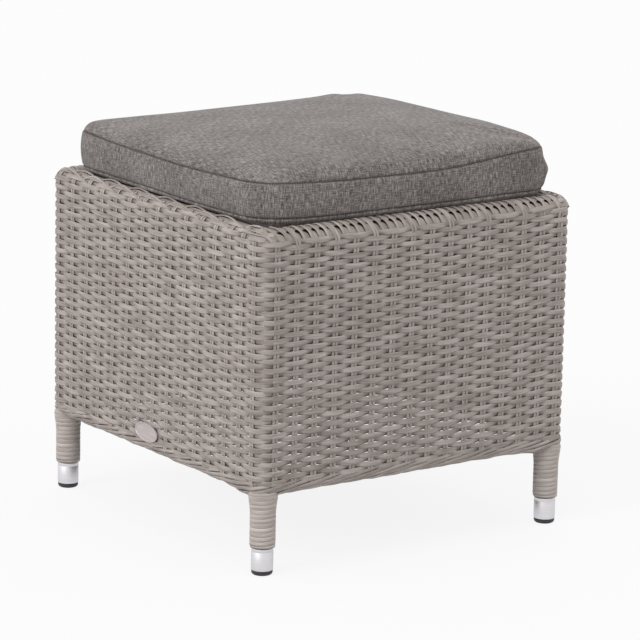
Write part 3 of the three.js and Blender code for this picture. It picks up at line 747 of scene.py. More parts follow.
def corner_caps(turn):
    """The broad strands that close the roll over the posts, under the last wraps at both ends of a rim."""
    caps = []
    for past in (12 * MM, 7 * MM, 2 * MM):
        for ahead in (-past, SIDE_RUNS[turn] + past):
            stations = []
            point, outward = side_place(turn, ahead)
            radius = math.sqrt(CAP_RADIUS ** 2 - past ** 2)
            for i in range(CAP_STEPS + 1):
                facing = raised(outward, math.radians(CAP_FROM + CAP_SWEEP * i / CAP_STEPS))
                # The last value, 0.3, is painted shade on these strands, which lie under the wraps.
                stations.append((point + UP * RIM_AXIS + facing * radius, facing, 3.2 * MM, 0.6 * MM, 0.3))
            caps.append(strand(stations, chance(turn, past / MM, 13.0)))
    return caps


def long_ribs(turn, k):
    """A stake's ribs that run on over the band and the crest."""
    ribs = []
    for side in (-1, 1):
        stations = []
        ahead = STAKES[k] - SIDE_STARTS[turn] + side * LONG_RIB_APART
        point, outward = side_place(turn, ahead)
        for i in range(LONG_RIB_FOOT_STEPS):
            z = RIM_AXIS - LONG_RIB_FOOT + LONG_RIB_FOOT_STEP * i
            radius = WEAVE_OUTER - (1.4 - 0.4 * i) * MM
            place = point + outward * radius + UP * z
            stations.append((place, outward, 1.5 * MM, LONG_RIB_HALF_THICKNESS))
        for i in range(LONG_RIB_STEPS + 1):
            angle = math.radians(1 + 179 * i / LONG_RIB_STEPS)
            point, facing = over_roll(turn, ahead, angle, 0.5 * MM)
            stations.append((point, facing, 1.6 * MM, LONG_RIB_HALF_THICKNESS))
        ribs.append(strand(stations, chance(k, side, 11.0)))
    return ribs


def roll_liner(turn, degrees):
    """A flat strand that runs along a rim, under its wraps or on its inside."""
    steps = round(SIDE_RUNS[turn] / LINER_STEP)
    stations = []
    for i in range(steps + 1):
        point, outward = side_place(turn, SIDE_RUNS[turn] * i / steps)
        facing = raised(outward, math.radians(degrees + 2 * chance(i / 9, degrees)))
        stations.append((point + UP * RIM_AXIS + facing * LINER_RADIUS, facing, 2.7 * MM, 0.6 * MM))
    return strand(stations, chance(turn, degrees))


def rim_arch(turn, ahead, peak, drop, seed):
    """A strand that loops up over the crest of a left or right rim, and runs down long towards the next
    stakes."""
    stations = []
    for i in range(ARCH_STEPS + 1):
        share = i / ARCH_STEPS
        climb = math.sin(math.pi / 2 * min(share / ARCH_RISE_SHARE, 1))
        fall = max(share - ARCH_RISE_SHARE, 0) / (1 - ARCH_RISE_SHARE)
        degrees = peak - 30 * (1 - climb) - drop * fall ** 1.4
        run = SIDE_STARTS[turn] + ahead + ARCH_RUN * share
        swell = 1.3 * math.sin(math.pi * min(share * 1.6, 1))
        proud = (0.4 + swell - 1.6 * blend_share(share, 0.85, 1)) * MM
        point, facing = on_rim(run, math.radians(degrees), WRAP_RADIUS + proud)
        stations.append((point, facing, 1.4 * MM, 0.75 * MM))
    return strand(stations, 0.5 + 0.3 * chance(seed, 12.0))


def rim(turn):
    """A side of the rolled rim."""
    strands = []
    if turn % 2 == 0:
        strands += [roll_liner(turn, degrees) for degrees in (-6, 14, 78, 100, 122, 144, 166)]
        strands += corner_caps(turn)
        pitch = 2 * STAKE_PITCH / WRAPS_PER_TWO_STAKES
        count = round((SIDE_RUNS[turn] + 2 * WEAVE_OUTER) / pitch)
        for i in range(count + 1):
            ahead = SIDE_RUNS[turn] / 2 + (i - count / 2) * pitch + WRAP_SHIFT
            strands += wrap_ribs(turn, ahead, turn * 100 + i)
        for k, run in enumerate(STAKES):
            if SIDE_STARTS[turn] <= run <= SIDE_STARTS[turn] + SIDE_RUNS[turn] and k % 2 == 1:
                strands += long_ribs(turn, k)
    else:
        strands += [roll_liner(turn, degrees) for degrees in range(66, 186, 22)]
        pitch = SIDE_RUNS[turn] / (STAKES_SHORT - 1)
        last = STAKES_SHORT - 2
        for i in range(last + 1):
            if i == last - 1:
                continue
            drop, before = (LAST_ARCH_DROP, LAST_ARCH_BEFORE) if i == last else (ARCH_DROP, ARCH_BEFORE)
            strands.append(rim_arch(turn, i * pitch - before, ARCH_PEAKS[i % 2], drop, turn * 100 + i))
    return bundle("wound_rim_" + TURNS[turn], strands, "rim_wrap_" + TURNS[turn])


# The hem: strands laid like a rope round the low rails
HEM_STRAND_RUN = 180 * MM
HEM_STRAND_STEPS = 44
HEM_STRAND_BACK = 80 * MM
HEM_STRAND_FROM, HEM_STRAND_SWEEP = -140, 175
HEM_STRAY, HEM_STRAY_RUN = 0.7 * MM, 16 * MM
HEM_STRAND_RADIUS = HEM_RADIUS - 1.4 * MM
HEM_STRAND_SWELL = 0.9 * MM
HEM_STRAND_TUCK = 1.5 * MM
HEM_CORE_RADIUS = HEM_RADIUS - 2.4 * MM
HEM_CORE_STEP = 5 * MM
SAG = 2.2 * MM
SAG_AT_LEG = 5.5 * MM
GATHER_FROM, GATHER_TO = -68 * MM, -18 * MM


def hem_sag(run):
    """How far the hem's underside hangs below its even round: most where its strands gather before a leg."""
    run %= LOOP_RUN
    for turn in range(4):
        past = run - SIDE_STARTS[turn] - SIDE_RUNS[turn]
        if GATHER_FROM < past <= 0:
            return SAG + (SAG_AT_LEG - SAG) * blend_share(past, GATHER_FROM, GATHER_TO)
        if 0 < past <= CORNER_RUN:
            return SAG_AT_LEG - (SAG_AT_LEG - SAG) * past / CORNER_RUN
    return SAG


def hem_strand(k):
    """A long strand that comes up slowly from under the hem and runs along its outside."""
    stations = []
    for i in range(HEM_STRAND_STEPS + 1):
        share = i / HEM_STRAND_STEPS
        angle = math.radians(HEM_STRAND_FROM + HEM_STRAND_SWEEP * share)
        run = STAKES[k] - HEM_STRAND_BACK + HEM_STRAND_RUN * share
        point, outward = on_loop(run)
        facing = raised(outward, angle)
        swell = math.sin(math.pi * share) ** 0.4
        radius = HEM_STRAND_RADIUS + HEM_STRAND_SWELL * swell - HEM_STRAND_TUCK * blend_share(share, 0.88, 1)
        radius += HEM_STRAY * wander(run, HEM_STRAY_RUN, 3.0 + k)
        drop = hem_sag(run) * (1 - math.sin(angle)) / 2
        centre = point + outward * HEM_AXIS_OUT + UP * (HEM_AXIS - drop) + facing * radius
        stations.append((centre, facing, (0.9 + 1.35 * swell) * MM, (0.7 + 0.35 * swell) * MM))
    return strand(stations, chance(k, 14.0))


def hem_core(turn):
    """The wound core of the hem that shows between its strands."""
    start = SIDE_STARTS[turn]
    length = SIDE_RUNS[turn] + CORNER_RUN
    steps = round(length / HEM_CORE_STEP)
    stations = []
    for i in range(steps + 1):
        run = min(start + length * i / steps, start + length - 1e-9)
        point, outward = on_loop(run)
        half_sag = hem_sag(run) / 2
        centre = point + outward * HEM_AXIS_OUT + UP * (HEM_AXIS - half_sag)
        stations.append((centre, outward, HEM_CORE_RADIUS + half_sag, HEM_CORE_RADIUS))
    return strand(stations, -0.6)


def hem(turn):
    """A side of the hem, with the corner at its end."""
    strands = [hem_core(turn)] + [hem_strand(k) for k in side_stakes(turn)]
    return bundle("rope_hem_" + TURNS[turn], strands, "hem_wrap_" + TURNS[turn])


# The legs
WINDING_PITCH = 5.3 * MM
WINDING_STEPS = 24
WINDING_TUCK = 14 * MM
WINDING_HALF_THICKNESS = 0.85 * MM
WINDING_HALF_WIDTH = 2.75 * MM
WINDING_RADIUS = TUBE_RADIUS + WINDING_HALF_THICKNESS
LEG_FLARE, LEG_FLARE_RUN = 2.2 * MM, 24 * MM
LEG_TUCK_IN = 3.2 * MM
CLIMBING_TURN = 0.5 * MM
FERRULE_TOP = post_low.z - 0.3 * MM
TURNED_STEPS = 48


def leg_winding(corner):
    """One strand wound down a leg, from inside the hem to the ferrule. Its last turn lies level and the one
    before climbs over it."""
    low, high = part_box("leg_winding_" + corner)
    centre = (low + high) / 2
    turns = round((high.z + WINDING_TUCK - low.z) / WINDING_PITCH)
    steps = turns * WINDING_STEPS
    bm = bmesh.new()
    along = bm.verts.layers.float.new("along")
    across = bm.verts.layers.float.new("across")
    bm.verts.layers.float.new("tone")
    ring = bmesh.ops.create_circle(bm, segments=SECTION_SIDES, radius=1, cap_ends=True)["verts"]
    for vert in ring:
        vert.co.x = squared(vert.co.x)
        vert.co.y = squared(vert.co.y)
        vert[across] = vert.co.y
    section = Matrix(((WINDING_HALF_THICKNESS, 0, 0), (0, 0, -1 * MM), (0, WINDING_HALF_WIDTH, 0))).to_4x4()
    section.translation = (centre.x + WINDING_RADIUS, centre.y, low.z + WINDING_PITCH / 2)
    bmesh.ops.transform(bm, matrix=section, verts=ring)
    spun = bmesh.ops.spin(bm, geom=list(bm.edges), cent=(centre.x, centre.y, 0), axis=(0, 0, 1),
                          dvec=(0, 0, WINDING_PITCH / WINDING_STEPS), angle=turns * 2 * math.pi, steps=steps)
    bmesh.ops.edgeloop_fill(bm, edges=only(spun["geom_last"], bmesh.types.BMEdge))
    bmesh.ops.recalc_face_normals(bm, faces=bm.faces)
    for vert in bm.verts:
        flat = Vector((vert.co.x - centre.x, vert.co.y - centre.y, 0))
        spun_by = (math.atan2(flat.y, flat.x) / (2 * math.pi)) % 1
        level = low.z + WINDING_PITCH * (spun_by + 0.5)
        wound = round((vert.co.z - level) / WINDING_PITCH) + spun_by
        vert.co.z -= WINDING_PITCH * min(wound, 1)
        flare = LEG_FLARE * blend_share(vert.co.z, high.z - LEG_FLARE_RUN, high.z)
        flare -= LEG_TUCK_IN * blend_share(vert.co.z, high.z - 1 * MM, high.z + 5 * MM)
        proud = CLIMBING_TURN * blend_share(wound, 0.4, 1.2)
        vert.co += flat.normalized() * (flare + proud)
        vert[along] = wound * 2 * math.pi * WINDING_RADIUS
    piece = piece_from(bm, "wound_leg_" + corner, PALE_RATTAN, "stool")
    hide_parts("leg_winding_" + corner)


def turned(name, centre, profile, material):
    """A solid of revolution round an upright axis, from a profile of radius and height."""
    bm = bmesh.new()
    verts = [bm.verts.new((centre.x + radius, centre.y, height)) for radius, height in profile]
    edges = [bm.edges.new(pair) for pair in zip(verts, verts[1:])]
    bmesh.ops.spin(bm, geom=verts + edges, cent=(centre.x, centre.y, 0), axis=(0, 0, 1),
                   angle=2 * math.pi, steps=TURNED_STEPS, use_merge=True)
    bmesh.ops.remove_doubles(bm, verts=bm.verts, dist=1e-6)
    bmesh.ops.recalc_face_normals(bm, faces=bm.faces)
    return piece_from(bm, name, material, "stool")


def ferrule(corner):
    """A turned ferrule with two rounded edges and a fine groove. Its spigot stands up inside the tube."""
    low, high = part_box("leg_ferrule_" + corner)
    centre = (low + high) / 2
    radius = (high.x - low.x) / 2
    bevel, round_off = 0.9 * MM, 0.25 * MM
    groove, groove_depth, half_floor, half_mouth = FERRULE_TOP - 4.2 * MM, 0.45 * MM, 0.4 * MM, 0.8 * MM
    spigot = TUBE_RADIUS - 2.2 * MM
    profile = [(0, low.z), (radius - bevel, low.z), (radius - round_off, low.z + round_off),
               (radius, low.z + bevel), (radius, groove - half_mouth),
               (radius - groove_depth, groove - half_floor), (radius - groove_depth, groove + half_floor),
               (radius, groove + half_mouth), (radius, FERRULE_TOP - bevel),
               (radius - round_off, FERRULE_TOP - round_off), (radius - bevel, FERRULE_TOP),
               (spigot, FERRULE_TOP), (spigot, high.z), (0, high.z)]
    piece = turned("turned_ferrule_" + corner, centre, profile, ALUMINIUM)
    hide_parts("leg_ferrule_" + corner)


def glide(corner):
    """A moulded glide: a rounded foot under the ferrule."""
    low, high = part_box("leg_glide_" + corner)
    ferrule_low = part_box("leg_ferrule_" + corner)[0].z
    centre = (low + high) / 2
    radius = (high.x - low.x) / 2
    foot, edge = 3.2 * MM, 0.4 * MM
    top = ferrule_low - 0.3 * MM
    curve = [(radius - foot + foot * math.sin(a), low.z + foot - foot * math.cos(a))
             for a in [math.pi / 2 * i / 6 for i in range(7)]]
    profile = [(0, low.z)] + curve + [(radius, top - edge), (radius - edge, top), (0, top)]
    piece = turned("moulded_glide_" + corner, centre, profile, NYLON)
    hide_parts("leg_glide_" + corner)


# The seat under the cushion
SEAT_STAKE_PITCH = 26.2 * MM
SEAT_ROW_PITCH = 7.6 * MM
SEAT_MIDDLE = SEAT_TOP - 2 * MM
SEAT_LIFT = 1.1 * MM
SEAT_CELL_STEPS = 6


def woven_seat():
    """The woven seat panel: rows along the width over and under pairs of stakes."""
    low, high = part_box("seat_weave")
    count_x = round((high.x - low.x) / SEAT_STAKE_PITCH)
    pitch_x = (high.x - low.x) / count_x
    count_y = round((high.y - low.y) / SEAT_ROW_PITCH)
    pitch_y = (high.y - low.y) / count_y
    strands = []
    for j in range(count_y):
        y = low.y + (j + 0.5) * pitch_y
        stations = []
        steps = count_x * SEAT_CELL_STEPS
        for i in range(steps + 1):
            x = low.x + (high.x - low.x) * i / steps
            lift = flattened(math.cos(math.pi * (i / SEAT_CELL_STEPS - 0.5 + j)))
            half_width = (3.5 + 0.5 * lift) * MM
            stations.append((Vector((x, y, SEAT_MIDDLE + SEAT_LIFT * lift)), UP, half_width, 0.6 * MM))
        strands.append(strand(stations, chance(j, 21.0)))
    for i in range(count_x):
        for side in (-1, 1):
            x = low.x + (i + 0.5) * pitch_x + side * RIB_APART / 2
            steps = count_y * 2
            places = [Vector((x, low.y + (high.y - low.y) * s / steps, SEAT_MIDDLE))
                      for s in range(steps + 1)]
            stations = [(place, UP, 1.6 * MM, 0.45 * MM) for place in places]
            strands.append(strand(stations, chance(i, side, 22.0)))
    return bundle("woven_seat", strands, "seat_weave")


# The cushion
UPPER_SEAM = 435.5 * MM
LOWER_SEAM = 397.8 * MM
CUSHION_BASE = RIM_CREST + 0.3 * MM
CUSHION_HALF_X = 199.5 * MM
CUSHION_FRONT = 203.5 * MM
CUSHION_BACK = 200.5 * MM
SIDE_BOW = 3 * MM
FRONT_BOW = 4.5 * MM
BACK_BOW = 1 * MM
CORNER_FRONT_LEFT = 52 * MM
CORNER_FRONT_RIGHT = 30 * MM
CORNER_BACK = 28 * MM
CUSHION_CELLS = 66
BOXING_ROWS = 7
BOXING_BULGE = 2.6 * MM
EDGE_BULGES = [-0.6 * MM, -2 * MM, -5 * MM]
CROWN = 22 * MM
CROWN_SQUARENESS, CROWN_FLATNESS = 9, 0.42
CROWN_TILT_X, CROWN_TILT_Y = 0.14, -0.12
FRONT_RIGHT_SLACK = 0.15
MIDDLE_RISE = 3 * MM
RIGHT_RISE = 9.5 * MM
REAR_CORNER_RISE = 6.5 * MM
FRONT_CORNER_RISE = 3.5 * MM
SEAT_CLEARANCE = 0.7 * MM
SIMULATION_STEPS = 20
SIMULATION_REACH = 4 * MM
ROLL_DEPTH = 14 * MM
ROLL_LENGTH = 0.65
SEAM_WIDTH = 1.5 * MM
SEAM_DEPTH = 2.4 * MM
SEAM_STRAY, SEAM_STRAY_RUN = 1.1 * MM, 80 * MM
FOLD_HEIGHTS = (434, 417, 410, 403, 396)
FOLD_REACHES = (0, 10.5, 3, 6, 2)
FOLD_FACING, FOLD_SPREAD = -36, 11
ZIP_FADE_ALONG = 12 * MM
ZIP_FLAT_HALF, ZIP_FADE_HALF = 11 * MM, 17 * MM
CORE_INSET = 7 * MM


def corner_radius(x, y):
    """The radius of the cushion's corner in the quarter that a plan point lies in."""
    if y > 0:
        return CORNER_BACK
    return CORNER_FRONT_LEFT if x < 0 else CORNER_FRONT_RIGHT


def outline_point(u, v, grow):
    """A point of the cushion's plan outline, for a point of a square's edge, grown outward by some length."""
    half_y, bow_y = (CUSHION_BACK, BACK_BOW) if v > 0 else (CUSHION_FRONT, FRONT_BOW)
    half_x, half_y, corner = CUSHION_HALF_X + grow, half_y + grow, corner_radius(u, v) + grow
    upright = abs(u) >= abs(v)
    half_out, half_along = (half_x, half_y) if upright else (half_y, half_x)
    share, bow = (v, SIDE_BOW) if upright else (u, bow_y)
    straight = half_along - corner
    reach = abs(share) * (straight + corner * math.pi / 4)
    if reach <= straight:
        along, out = reach, half_out + bow * (1 - (reach / straight) ** 2)
    else:
        angle = (reach - straight) / corner
        along = straight + corner * math.sin(angle)
        out = half_out - corner + corner * math.cos(angle)
    along = math.copysign(along, share)
    if upright:
        return Vector((math.copysign(out, u), along))
    return Vector((along, math.copysign(out, v)))


def outline_normal(flat):
    """The outward direction of the cushion's outline beside a point near its edge."""
    corner = corner_radius(flat.x, flat.y)
    half_y = CUSHION_BACK if flat.y > 0 else CUSHION_FRONT
    over_x = abs(flat.x) - (CUSHION_HALF_X - corner)
    over_y = abs(flat.y) - (half_y - corner)
    if over_x > 0 and over_y > 0:
        return Vector((math.copysign(over_x, flat.x), math.copysign(over_y, flat.y))).normalized()
    if abs(flat.x) / CUSHION_HALF_X > abs(flat.y) / half_y:
        return Vector((math.copysign(1, flat.x), 0))
    return Vector((0, math.copysign(1, flat.y)))


def plan_point(u, v, grow):
    """A point of the cushion's plan for a point of the square from -1 to 1."""
    ring = max(abs(u), abs(v))
    if ring < 1e-6:
        return Vector((0, 0))
    edge = outline_point(u / ring, v / ring, grow) * ring
    half_y = (CUSHION_BACK if v > 0 else CUSHION_FRONT) + grow
    square = Vector((u * (CUSHION_HALF_X + grow), v * half_y))
    return square.lerp(edge, ring ** 3)


def roll_height(reach):
    """The height of the rim's roll at a distance in from its crest."""
    radius = RIM_CREST - RIM_AXIS + SEAT_CLEARANCE
    return RIM_AXIS + math.sqrt(radius ** 2 - reach ** 2) if abs(reach) < radius else 0


def belly_height(x, y):
    """The height of the cushion's underside, which sinks between the rims to the seat."""
    return max(SEAT_TOP + SEAT_CLEARANCE, roll_height(HALF_X - abs(x)), roll_height(HALF_Y - abs(y)))


def seam_wander(x, y, seam):
    """How far a seam wanders up and down: the upper one rises to the corners, and most on the right."""
    sway = SEAM_STRAY * noise.noise(Vector((x / SEAM_STRAY_RUN, y / SEAM_STRAY_RUN, seam)))
    if seam == LOWER_SEAM:
        return sway
    corner = abs(x / CUSHION_HALF_X * y / CUSHION_FRONT)
    power = 2 if x < 0 else 4
    rise = REAR_CORNER_RISE * corner ** power if y > 0 else FRONT_CORNER_RISE * corner ** 1.5
    rear = blend_share(y, 80 * MM, 190 * MM)
    right = RIGHT_RISE * blend_share(x, (30 + 95 * rear) * MM, CUSHION_HALF_X) * (1 - 0.25 * rear)
    return sway + rise + right


def crown_height(u, v):
    """How high the top stands over its seam. It rises steeply from the seam and is nearly flat in the
    middle."""
    fall_u, fall_v = abs(u) ** CROWN_SQUARENESS, abs(v) ** CROWN_SQUARENESS
    dome = ((1 - fall_u) * (1 - fall_v)) ** CROWN_FLATNESS
    square = (1 - max(fall_u, fall_v)) ** CROWN_FLATNESS
    dome += (square - dome) * blend_share(-u, 0.5, 0.95) * blend_share(v, 0.5, 0.95)
    slack = FRONT_RIGHT_SLACK * blend_share(u, 0.4, 1) * blend_share(-v, 0.4, 0.9)
    tilt = 1 + CROWN_TILT_X * u + CROWN_TILT_Y * v - slack
    return CROWN * dome * tilt + MIDDLE_RISE * (1 - u * u) * (1 - v * v)


def square_grid(bm):
    """The corners of a square of cells from -1 to 1."""
    return bmesh.ops.create_grid(bm, x_segments=CUSHION_CELLS, y_segments=CUSHION_CELLS, size=1)["verts"]


def cushion_shell(inset=0.0):
    """The cushion as a closed shell, drawn in evenly by an inset. Its panels are 0 for the top, 1 for the
    boxing, 2 for the edge below it and 3 for the underside, and its seams are edge loops between them."""
    bm = bmesh.new()
    panel = bm.faces.layers.int.new("panel")
    for vert in square_grid(bm):
        u, v = vert.co.x, vert.co.y
        spot = plan_point(u, v, -inset)
        seam = UPPER_SEAM + seam_wander(spot.x, spot.y, UPPER_SEAM) * max(abs(u), abs(v)) ** 6
        vert.co = (spot.x, spot.y, seam + crown_height(u, v) - inset)
    rim_edges = [edge for edge in bm.edges if edge.is_boundary]
    levels = [i / BOXING_ROWS for i in range(1, BOXING_ROWS + 1)]
    bulges = [BOXING_BULGE * math.sin(math.pi * share) for share in levels] + EDGE_BULGES
    lows = [LOWER_SEAM - 2.2 * MM, CUSHION_BASE + 1.2 * MM, CUSHION_BASE]
    grown_by = 0.0
    for level, bulge in enumerate(bulges):
        grown = bmesh.ops.extrude_edge_only(bm, edges=rim_edges)["geom"]
        ring = only(grown, bmesh.types.BMVert)
        rim_edges = only(grown, bmesh.types.BMEdge)
        for face in only(grown, bmesh.types.BMFace):
            face[panel] = 1 if level < BOXING_ROWS else 2
        for vert in ring:
            flat = Vector((vert.co.x, vert.co.y))
            upper = UPPER_SEAM + seam_wander(flat.x, flat.y, UPPER_SEAM) - inset
            lower = LOWER_SEAM + seam_wander(flat.x, flat.y, LOWER_SEAM) + inset
            flat += outline_normal(flat) * (bulge - grown_by)
            if level < BOXING_ROWS:
                z = upper + (lower - upper) * levels[level]
            else:
                z = lows[level - BOXING_ROWS] + inset
            vert.co = (flat.x, flat.y, z)
        grown_by = bulge
    under = square_grid(bm)
    for vert in under:
        u, v = vert.co.x, vert.co.y
        spot = plan_point(u, v, -inset)
        ring = max(abs(u), abs(v))
        spot += outline_normal(spot) * (grown_by * ring ** 8)
        z = CUSHION_BASE if ring > 1 - 1e-6 else min(belly_height(spot.x, spot.y), CUSHION_BASE)
        vert.co = (spot.x, spot.y, z + inset)
    under_set = set(under)
    for face in bm.faces:
        if all(vert in under_set for vert in face.verts):
            face[panel] = 3
    bmesh.ops.remove_doubles(bm, verts=bm.verts, dist=0.05 * MM)
    bmesh.ops.recalc_face_normals(bm, faces=bm.faces)
    return bm


def simulate(piece, weights):
    """Blows the cover up like a stuffed cushion. The weights say how firmly each point is held."""
    rest = [vert.co.copy() for vert in piece.data.vertices]
    group = piece.vertex_groups.new(name="held")
    for index, weight in weights.items():
        group.add([index], weight, "REPLACE")
    cloth = piece.modifiers.new("cloth", "CLOTH")
    settings = cloth.settings
    settings.quality = 6
    settings.mass = 0.3
    settings.tension_stiffness = settings.compression_stiffness = 40
    settings.tension_damping = settings.compression_damping = 20
    settings.shear_stiffness = 20
    settings.bending_stiffness = 10
    settings.use_pressure = True
    settings.uniform_pressure_force = 0.6
    settings.shrink_min = 0.001
    settings.effector_weights.gravity = 0
    settings.vertex_group_mass = "held"
    settings.pin_stiffness = 6
    scene = bpy.context.scene
    for number in range(1, SIMULATION_STEPS + 1):
        scene.frame_set(number)
    puffed = piece.evaluated_get(bpy.context.evaluated_depsgraph_get()).to_mesh()
    moved = [vert.co.copy() for vert in puffed.vertices]
    piece.modifiers.remove(cloth)
    piece.vertex_groups.clear()
    scene.frame_set(1)
    for vert, old, new in zip(piece.data.vertices, rest, moved):
        step = new - old
        if step.length > SIMULATION_REACH:
            step *= SIMULATION_REACH / step.length
        vert.co = old + step


def cloth_uv(bm):
    """Lays the cloth's threads: along the plan on top and below, over the roll to the upper seam by about
    its real length, and round the cushion on its boxing."""
    panel = bm.faces.layers.int["panel"]
    uv = bm.loops.layers.uv.new("cloth")
    for face in bm.faces:
        middle = face.calc_center_median()
        out = outline_normal(Vector((middle.x, middle.y)))
        for loop in face.loops:
            co = loop.vert.co
            if face[panel] in (1, 2):
                along = co.x * -out.y + co.y * out.x + math.atan2(out.y, out.x) * CORNER_BACK
                loop[uv].uv = (along, co.z)
            elif face[panel] == 3:
                loop[uv].uv = (co.x, co.y)
            else:
                risen = co.z - UPPER_SEAM - seam_wander(co.x, co.y, UPPER_SEAM)
                loop[uv].uv = Vector((co.x, co.y)) + out * ROLL_LENGTH * max(ROLL_DEPTH - risen, 0)


def sew(bm):
    """Pulls the two seams in to a narrow groove and marks the groove for the canvas's painted shade."""
    panel = bm.faces.layers.int["panel"]
    seam = bm.verts.layers.float.new("seam")
    seams = [edge for edge in bm.edges
             if {face[panel] for face in edge.link_faces} in ({0, 1}, {1, 2}, {0, 2})]
    bevelled = bmesh.ops.bevel(bm, geom=seams, offset=SEAM_WIDTH, offset_type="OFFSET", affect="EDGES",
                               segments=2, profile=0.5, material=-1)
    bm.normal_update()
    fresh = set(bevelled["faces"])
    middle = [vert for vert in bevelled["verts"] if all(face in fresh for face in vert.link_faces)]
    pulls = {vert: vert.normal.copy() for vert in middle}
    for vert, pull in pulls.items():
        vert.co -= pull * SEAM_DEPTH
        vert[seam] = 1


def corner_fold(bm):
    """The small pinched fold on the boxing at the front right corner. Its heights and reaches are in mm."""
    levels = list(zip(FOLD_HEIGHTS, FOLD_HEIGHTS[1:], FOLD_REACHES, FOLD_REACHES[1:]))
    for vert in bm.verts:
        z = vert.co.z / MM
        if not FOLD_HEIGHTS[-1] <= z <= FOLD_HEIGHTS[0] or vert.co.x < CUSHION_HALF_X / 2:
            continue
        flat = Vector((vert.co.x, vert.co.y))
        out = outline_normal(flat)
        angle = math.degrees(math.atan2(out.y, out.x))
        if not -88 < angle < -2:
            continue
        for high, low, reach_high, reach_low in levels:
            if low <= z <= high:
                reach = reach_high + (reach_low - reach_high) * (high - z) / (high - low)
        reach *= MM * math.exp(-((angle - FOLD_FACING) / FOLD_SPREAD) ** 2)
        vert.co.x += out.x * reach
        vert.co.y += out.y * reach


def foam_core():
    """The foam block inside the cushion's cover."""
    piece = piece_from(cushion_shell(CORE_INSET), "foam_block", FOAM, "cushion")
    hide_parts("cushion_core")


def press_rear(bm):
    """Keeps the boxing behind the zip flat, so that the zip lies on it."""
    for vert in bm.verts:
        share = 1 - blend_share(abs(vert.co.x), ZIP_HALF_RUN, ZIP_HALF_RUN + ZIP_FADE_ALONG)
        share *= 1 - blend_share(abs(vert.co.z - ZIP_HEIGHT), ZIP_FLAT_HALF, ZIP_FADE_HALF)
        if vert.co.y > ZIP_FACE:
            vert.co.y += (ZIP_FACE - vert.co.y) * share


def cushion():
    """The cushion's cover."""
    bm = cushion_shell()
    panel = bm.faces.layers.int["panel"]
    weights = {}
    bm.verts.index_update()
    for vert in bm.verts:
        panels = {face[panel] for face in vert.link_faces}
        if 3 in panels or 2 in panels:
            weights[vert.index] = 1.0
        elif panels == {0, 1}:
            weights[vert.index] = 0.9
    piece = piece_from(bm, "sewn_cushion", CANVAS, "cushion")
    simulate(piece, weights)
    bm = bmesh.new()
    bm.from_mesh(piece.data)
    cloth_uv(bm)
    corner_fold(bm)
    press_rear(bm)
    sew(bm)
    bmesh.ops.recalc_face_normals(bm, faces=bm.faces)
    bm.to_mesh(piece.data)
    bm.free()
    for face in piece.data.polygons:
        face.use_smooth = True
    smooth = piece.modifiers.new("smooth", "SUBSURF")
    smooth.levels = smooth.render_levels = 1
    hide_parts("cushion_cover")


def badge():
    """A bare oval plate on the left side."""
    half_long, half_tall, thick = 23.5 * MM, 11 * MM, 1.3 * MM
    edge_width, slope_width, edge_height = 1.1 * MM, 0.7 * MM, 0.8 * MM
    off_weave, behind_middle, height = 0.9 * MM, 6.5 * MM, 116 * MM
    bm = bmesh.new()
    bmesh.ops.create_circle(bm, segments=64, radius=1, cap_ends=True)
    base = Matrix(((0, 0, -1, 0), (half_long, 0, 0, 0), (0, half_tall, 0, 0), (0, 0, 0, 1)))
    bmesh.ops.transform(bm, matrix=base, verts=bm.verts)
    plate = bm.faces[:]
    bmesh.ops.recalc_face_normals(bm, faces=bm.faces)
    grown = bmesh.ops.extrude_face_region(bm, geom=plate)["geom"]
    front = only(grown, bmesh.types.BMFace)
    verts = only(grown, bmesh.types.BMVert)
    bmesh.ops.translate(bm, vec=(-thick, 0, 0), verts=verts)
    bmesh.ops.inset_region(bm, faces=front, thickness=edge_width)
    bmesh.ops.inset_region(bm, faces=front, thickness=slope_width)
    inner = list({vert for face in front for vert in face.verts})
    bmesh.ops.translate(bm, vec=(edge_height, 0, 0), verts=inner)
    place = Matrix.Translation((-(HALF_X + WEAVE_OUTER + off_weave), behind_middle, height))
    bmesh.ops.transform(bm, matrix=place, verts=bm.verts)
    bmesh.ops.recalc_face_normals(bm, faces=bm.faces)
    piece_from(bm, "badge_plate", PLATE, "stool", smooth=False)


def carry_over():
    """Gives the frame's own tubes and the zip their finishes."""
    finishes = {"leg_post": FRAME_COAT, "top_rail": FRAME_COAT, "low_rail": FRAME_COAT,
                "seat_bar": FRAME_COAT, "zip_tape": TAPE, "zip_slider": ZINC, "zip_pull": ZINC}
    for name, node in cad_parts.items():
        for start, material in finishes.items():
            if name.startswith(start):
                node.data.materials.clear()
                node.data.materials.append(material)


def seen_by_camera(tree):
    """1 for what the camera sees, straight, mirrored or through a surface, and 0 for light on the object."""
    path = add(tree, "ShaderNodeLightPath")
    seen = path.outputs["Is Camera Ray"]
    for ray in ("Is Glossy Ray", "Is Transmission Ray"):
        seen = calculate(tree, "MAXIMUM", seen, path.outputs[ray])
    return seen


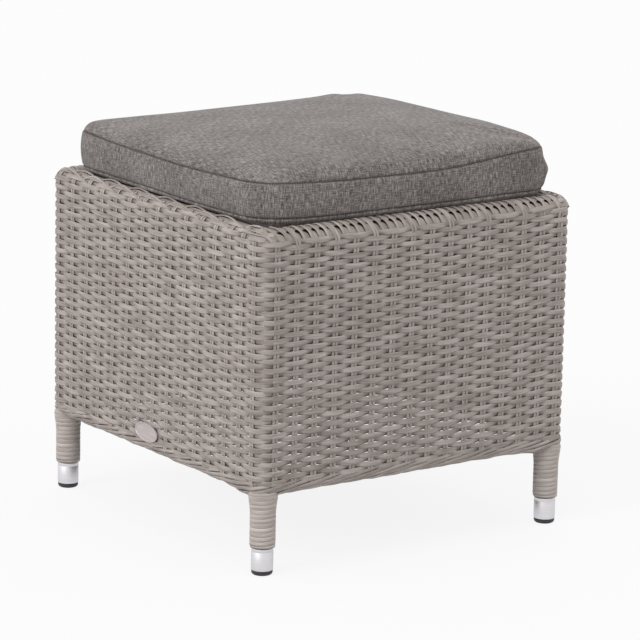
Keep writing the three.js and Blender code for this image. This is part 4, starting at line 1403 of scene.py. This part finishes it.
def studio():
    """A pale floor that is open from below, a white surround and soft light from the upper left."""
    half_floor = 9
    sun_strength, sun_width, sun_from = 0.86, math.radians(28), Vector((-0.5, -0.05, 0.36))
    bm = bmesh.new()
    bmesh.ops.create_grid(bm, x_segments=1, y_segments=1, size=half_floor)
    floor = object_from(bm, "floor")
    bpy.context.scene.collection.objects.link(floor)
    material, tree = new_material("matt_white_floor")
    seen = seen_by_camera(tree)
    share = calculate(tree, "MULTIPLY", seen, 0.87)
    shade = mix_colours(tree, seen, linear("#BCBCBC"), linear("#F6F6F6"))
    matt = add(tree, "ShaderNodeBsdfDiffuse", {"Color": shade})
    glow = add(tree, "ShaderNodeEmission", {"Color": linear("#FFFFFF"), "Strength": 1.0})
    mixed = add(tree, "ShaderNodeMixShader", {0: share, 1: matt.outputs[0], 2: glow.outputs[0]})
    below = add(tree, "ShaderNodeNewGeometry")
    clear = add(tree, "ShaderNodeBsdfTransparent")
    open_below = add(tree, "ShaderNodeMixShader",
                     {0: below.outputs["Backfacing"], 1: mixed.outputs[0], 2: clear.outputs[0]})
    floor.data.materials.append(finish_material(material, open_below))

    world = bpy.data.worlds.new("surround")
    bpy.context.scene.world = world
    world.use_nodes = True
    tree = world.node_tree
    tree.nodes.clear()
    seen = seen_by_camera(tree)
    power = add(tree, "ShaderNodeMapRange", {"Value": seen, "To Min": 0.735, "To Max": 1.02})
    glow = add(tree, "ShaderNodeBackground", {"Color": (1, 1, 1, 1), "Strength": power.outputs[0]})
    add(tree, "ShaderNodeOutputWorld", {"Surface": glow.outputs[0]})

    lamp = bpy.data.lights.new("key", "SUN")
    lamp.energy = sun_strength
    lamp.angle = sun_width
    key = bpy.data.objects.new("key", lamp)
    key.rotation_mode = "QUATERNION"
    key.rotation_quaternion = sun_from.to_track_quat("Z", "Y")
    bpy.context.scene.collection.objects.link(key)


def camera():
    """The camera at the photograph's place, worked out from the feet, the rim and the hem."""
    yaw, pitch, roll = math.radians(-35.03), math.radians(13.13), math.radians(1.10)
    place = (-2.3734, -3.4140, 1.1949)
    focal_pixels, frame_pixels = 3621.65, 640
    data = bpy.data.cameras.new("camera")
    data.sensor_width = 36
    data.lens = focal_pixels / frame_pixels * data.sensor_width
    data.clip_end = 100
    eye = bpy.data.objects.new("camera", data)
    back = Vector((math.sin(yaw) * math.cos(pitch), -math.cos(yaw) * math.cos(pitch), math.sin(pitch)))
    right = (-back).cross(UP).normalized()
    top = back.cross(right)
    turned_right = right * math.cos(roll) + top * math.sin(roll)
    turned_top = back.cross(turned_right)
    matrix = Matrix((turned_right, turned_top, back)).transposed().to_4x4()
    matrix.translation = place
    eye.matrix_world = matrix
    bpy.context.scene.collection.objects.link(eye)
    bpy.context.scene.camera = eye


camera()
studio()
carry_over()
for turn in range(4):
    woven_side(turn)
    rim(turn)
    hem(turn)
for corner in CORNERS:
    leg_winding(corner)
    ferrule(corner)
    glide(corner)
woven_seat()
foam_core()
cushion()
badge()

bpy.context.scene.view_settings.view_transform = "Standard"
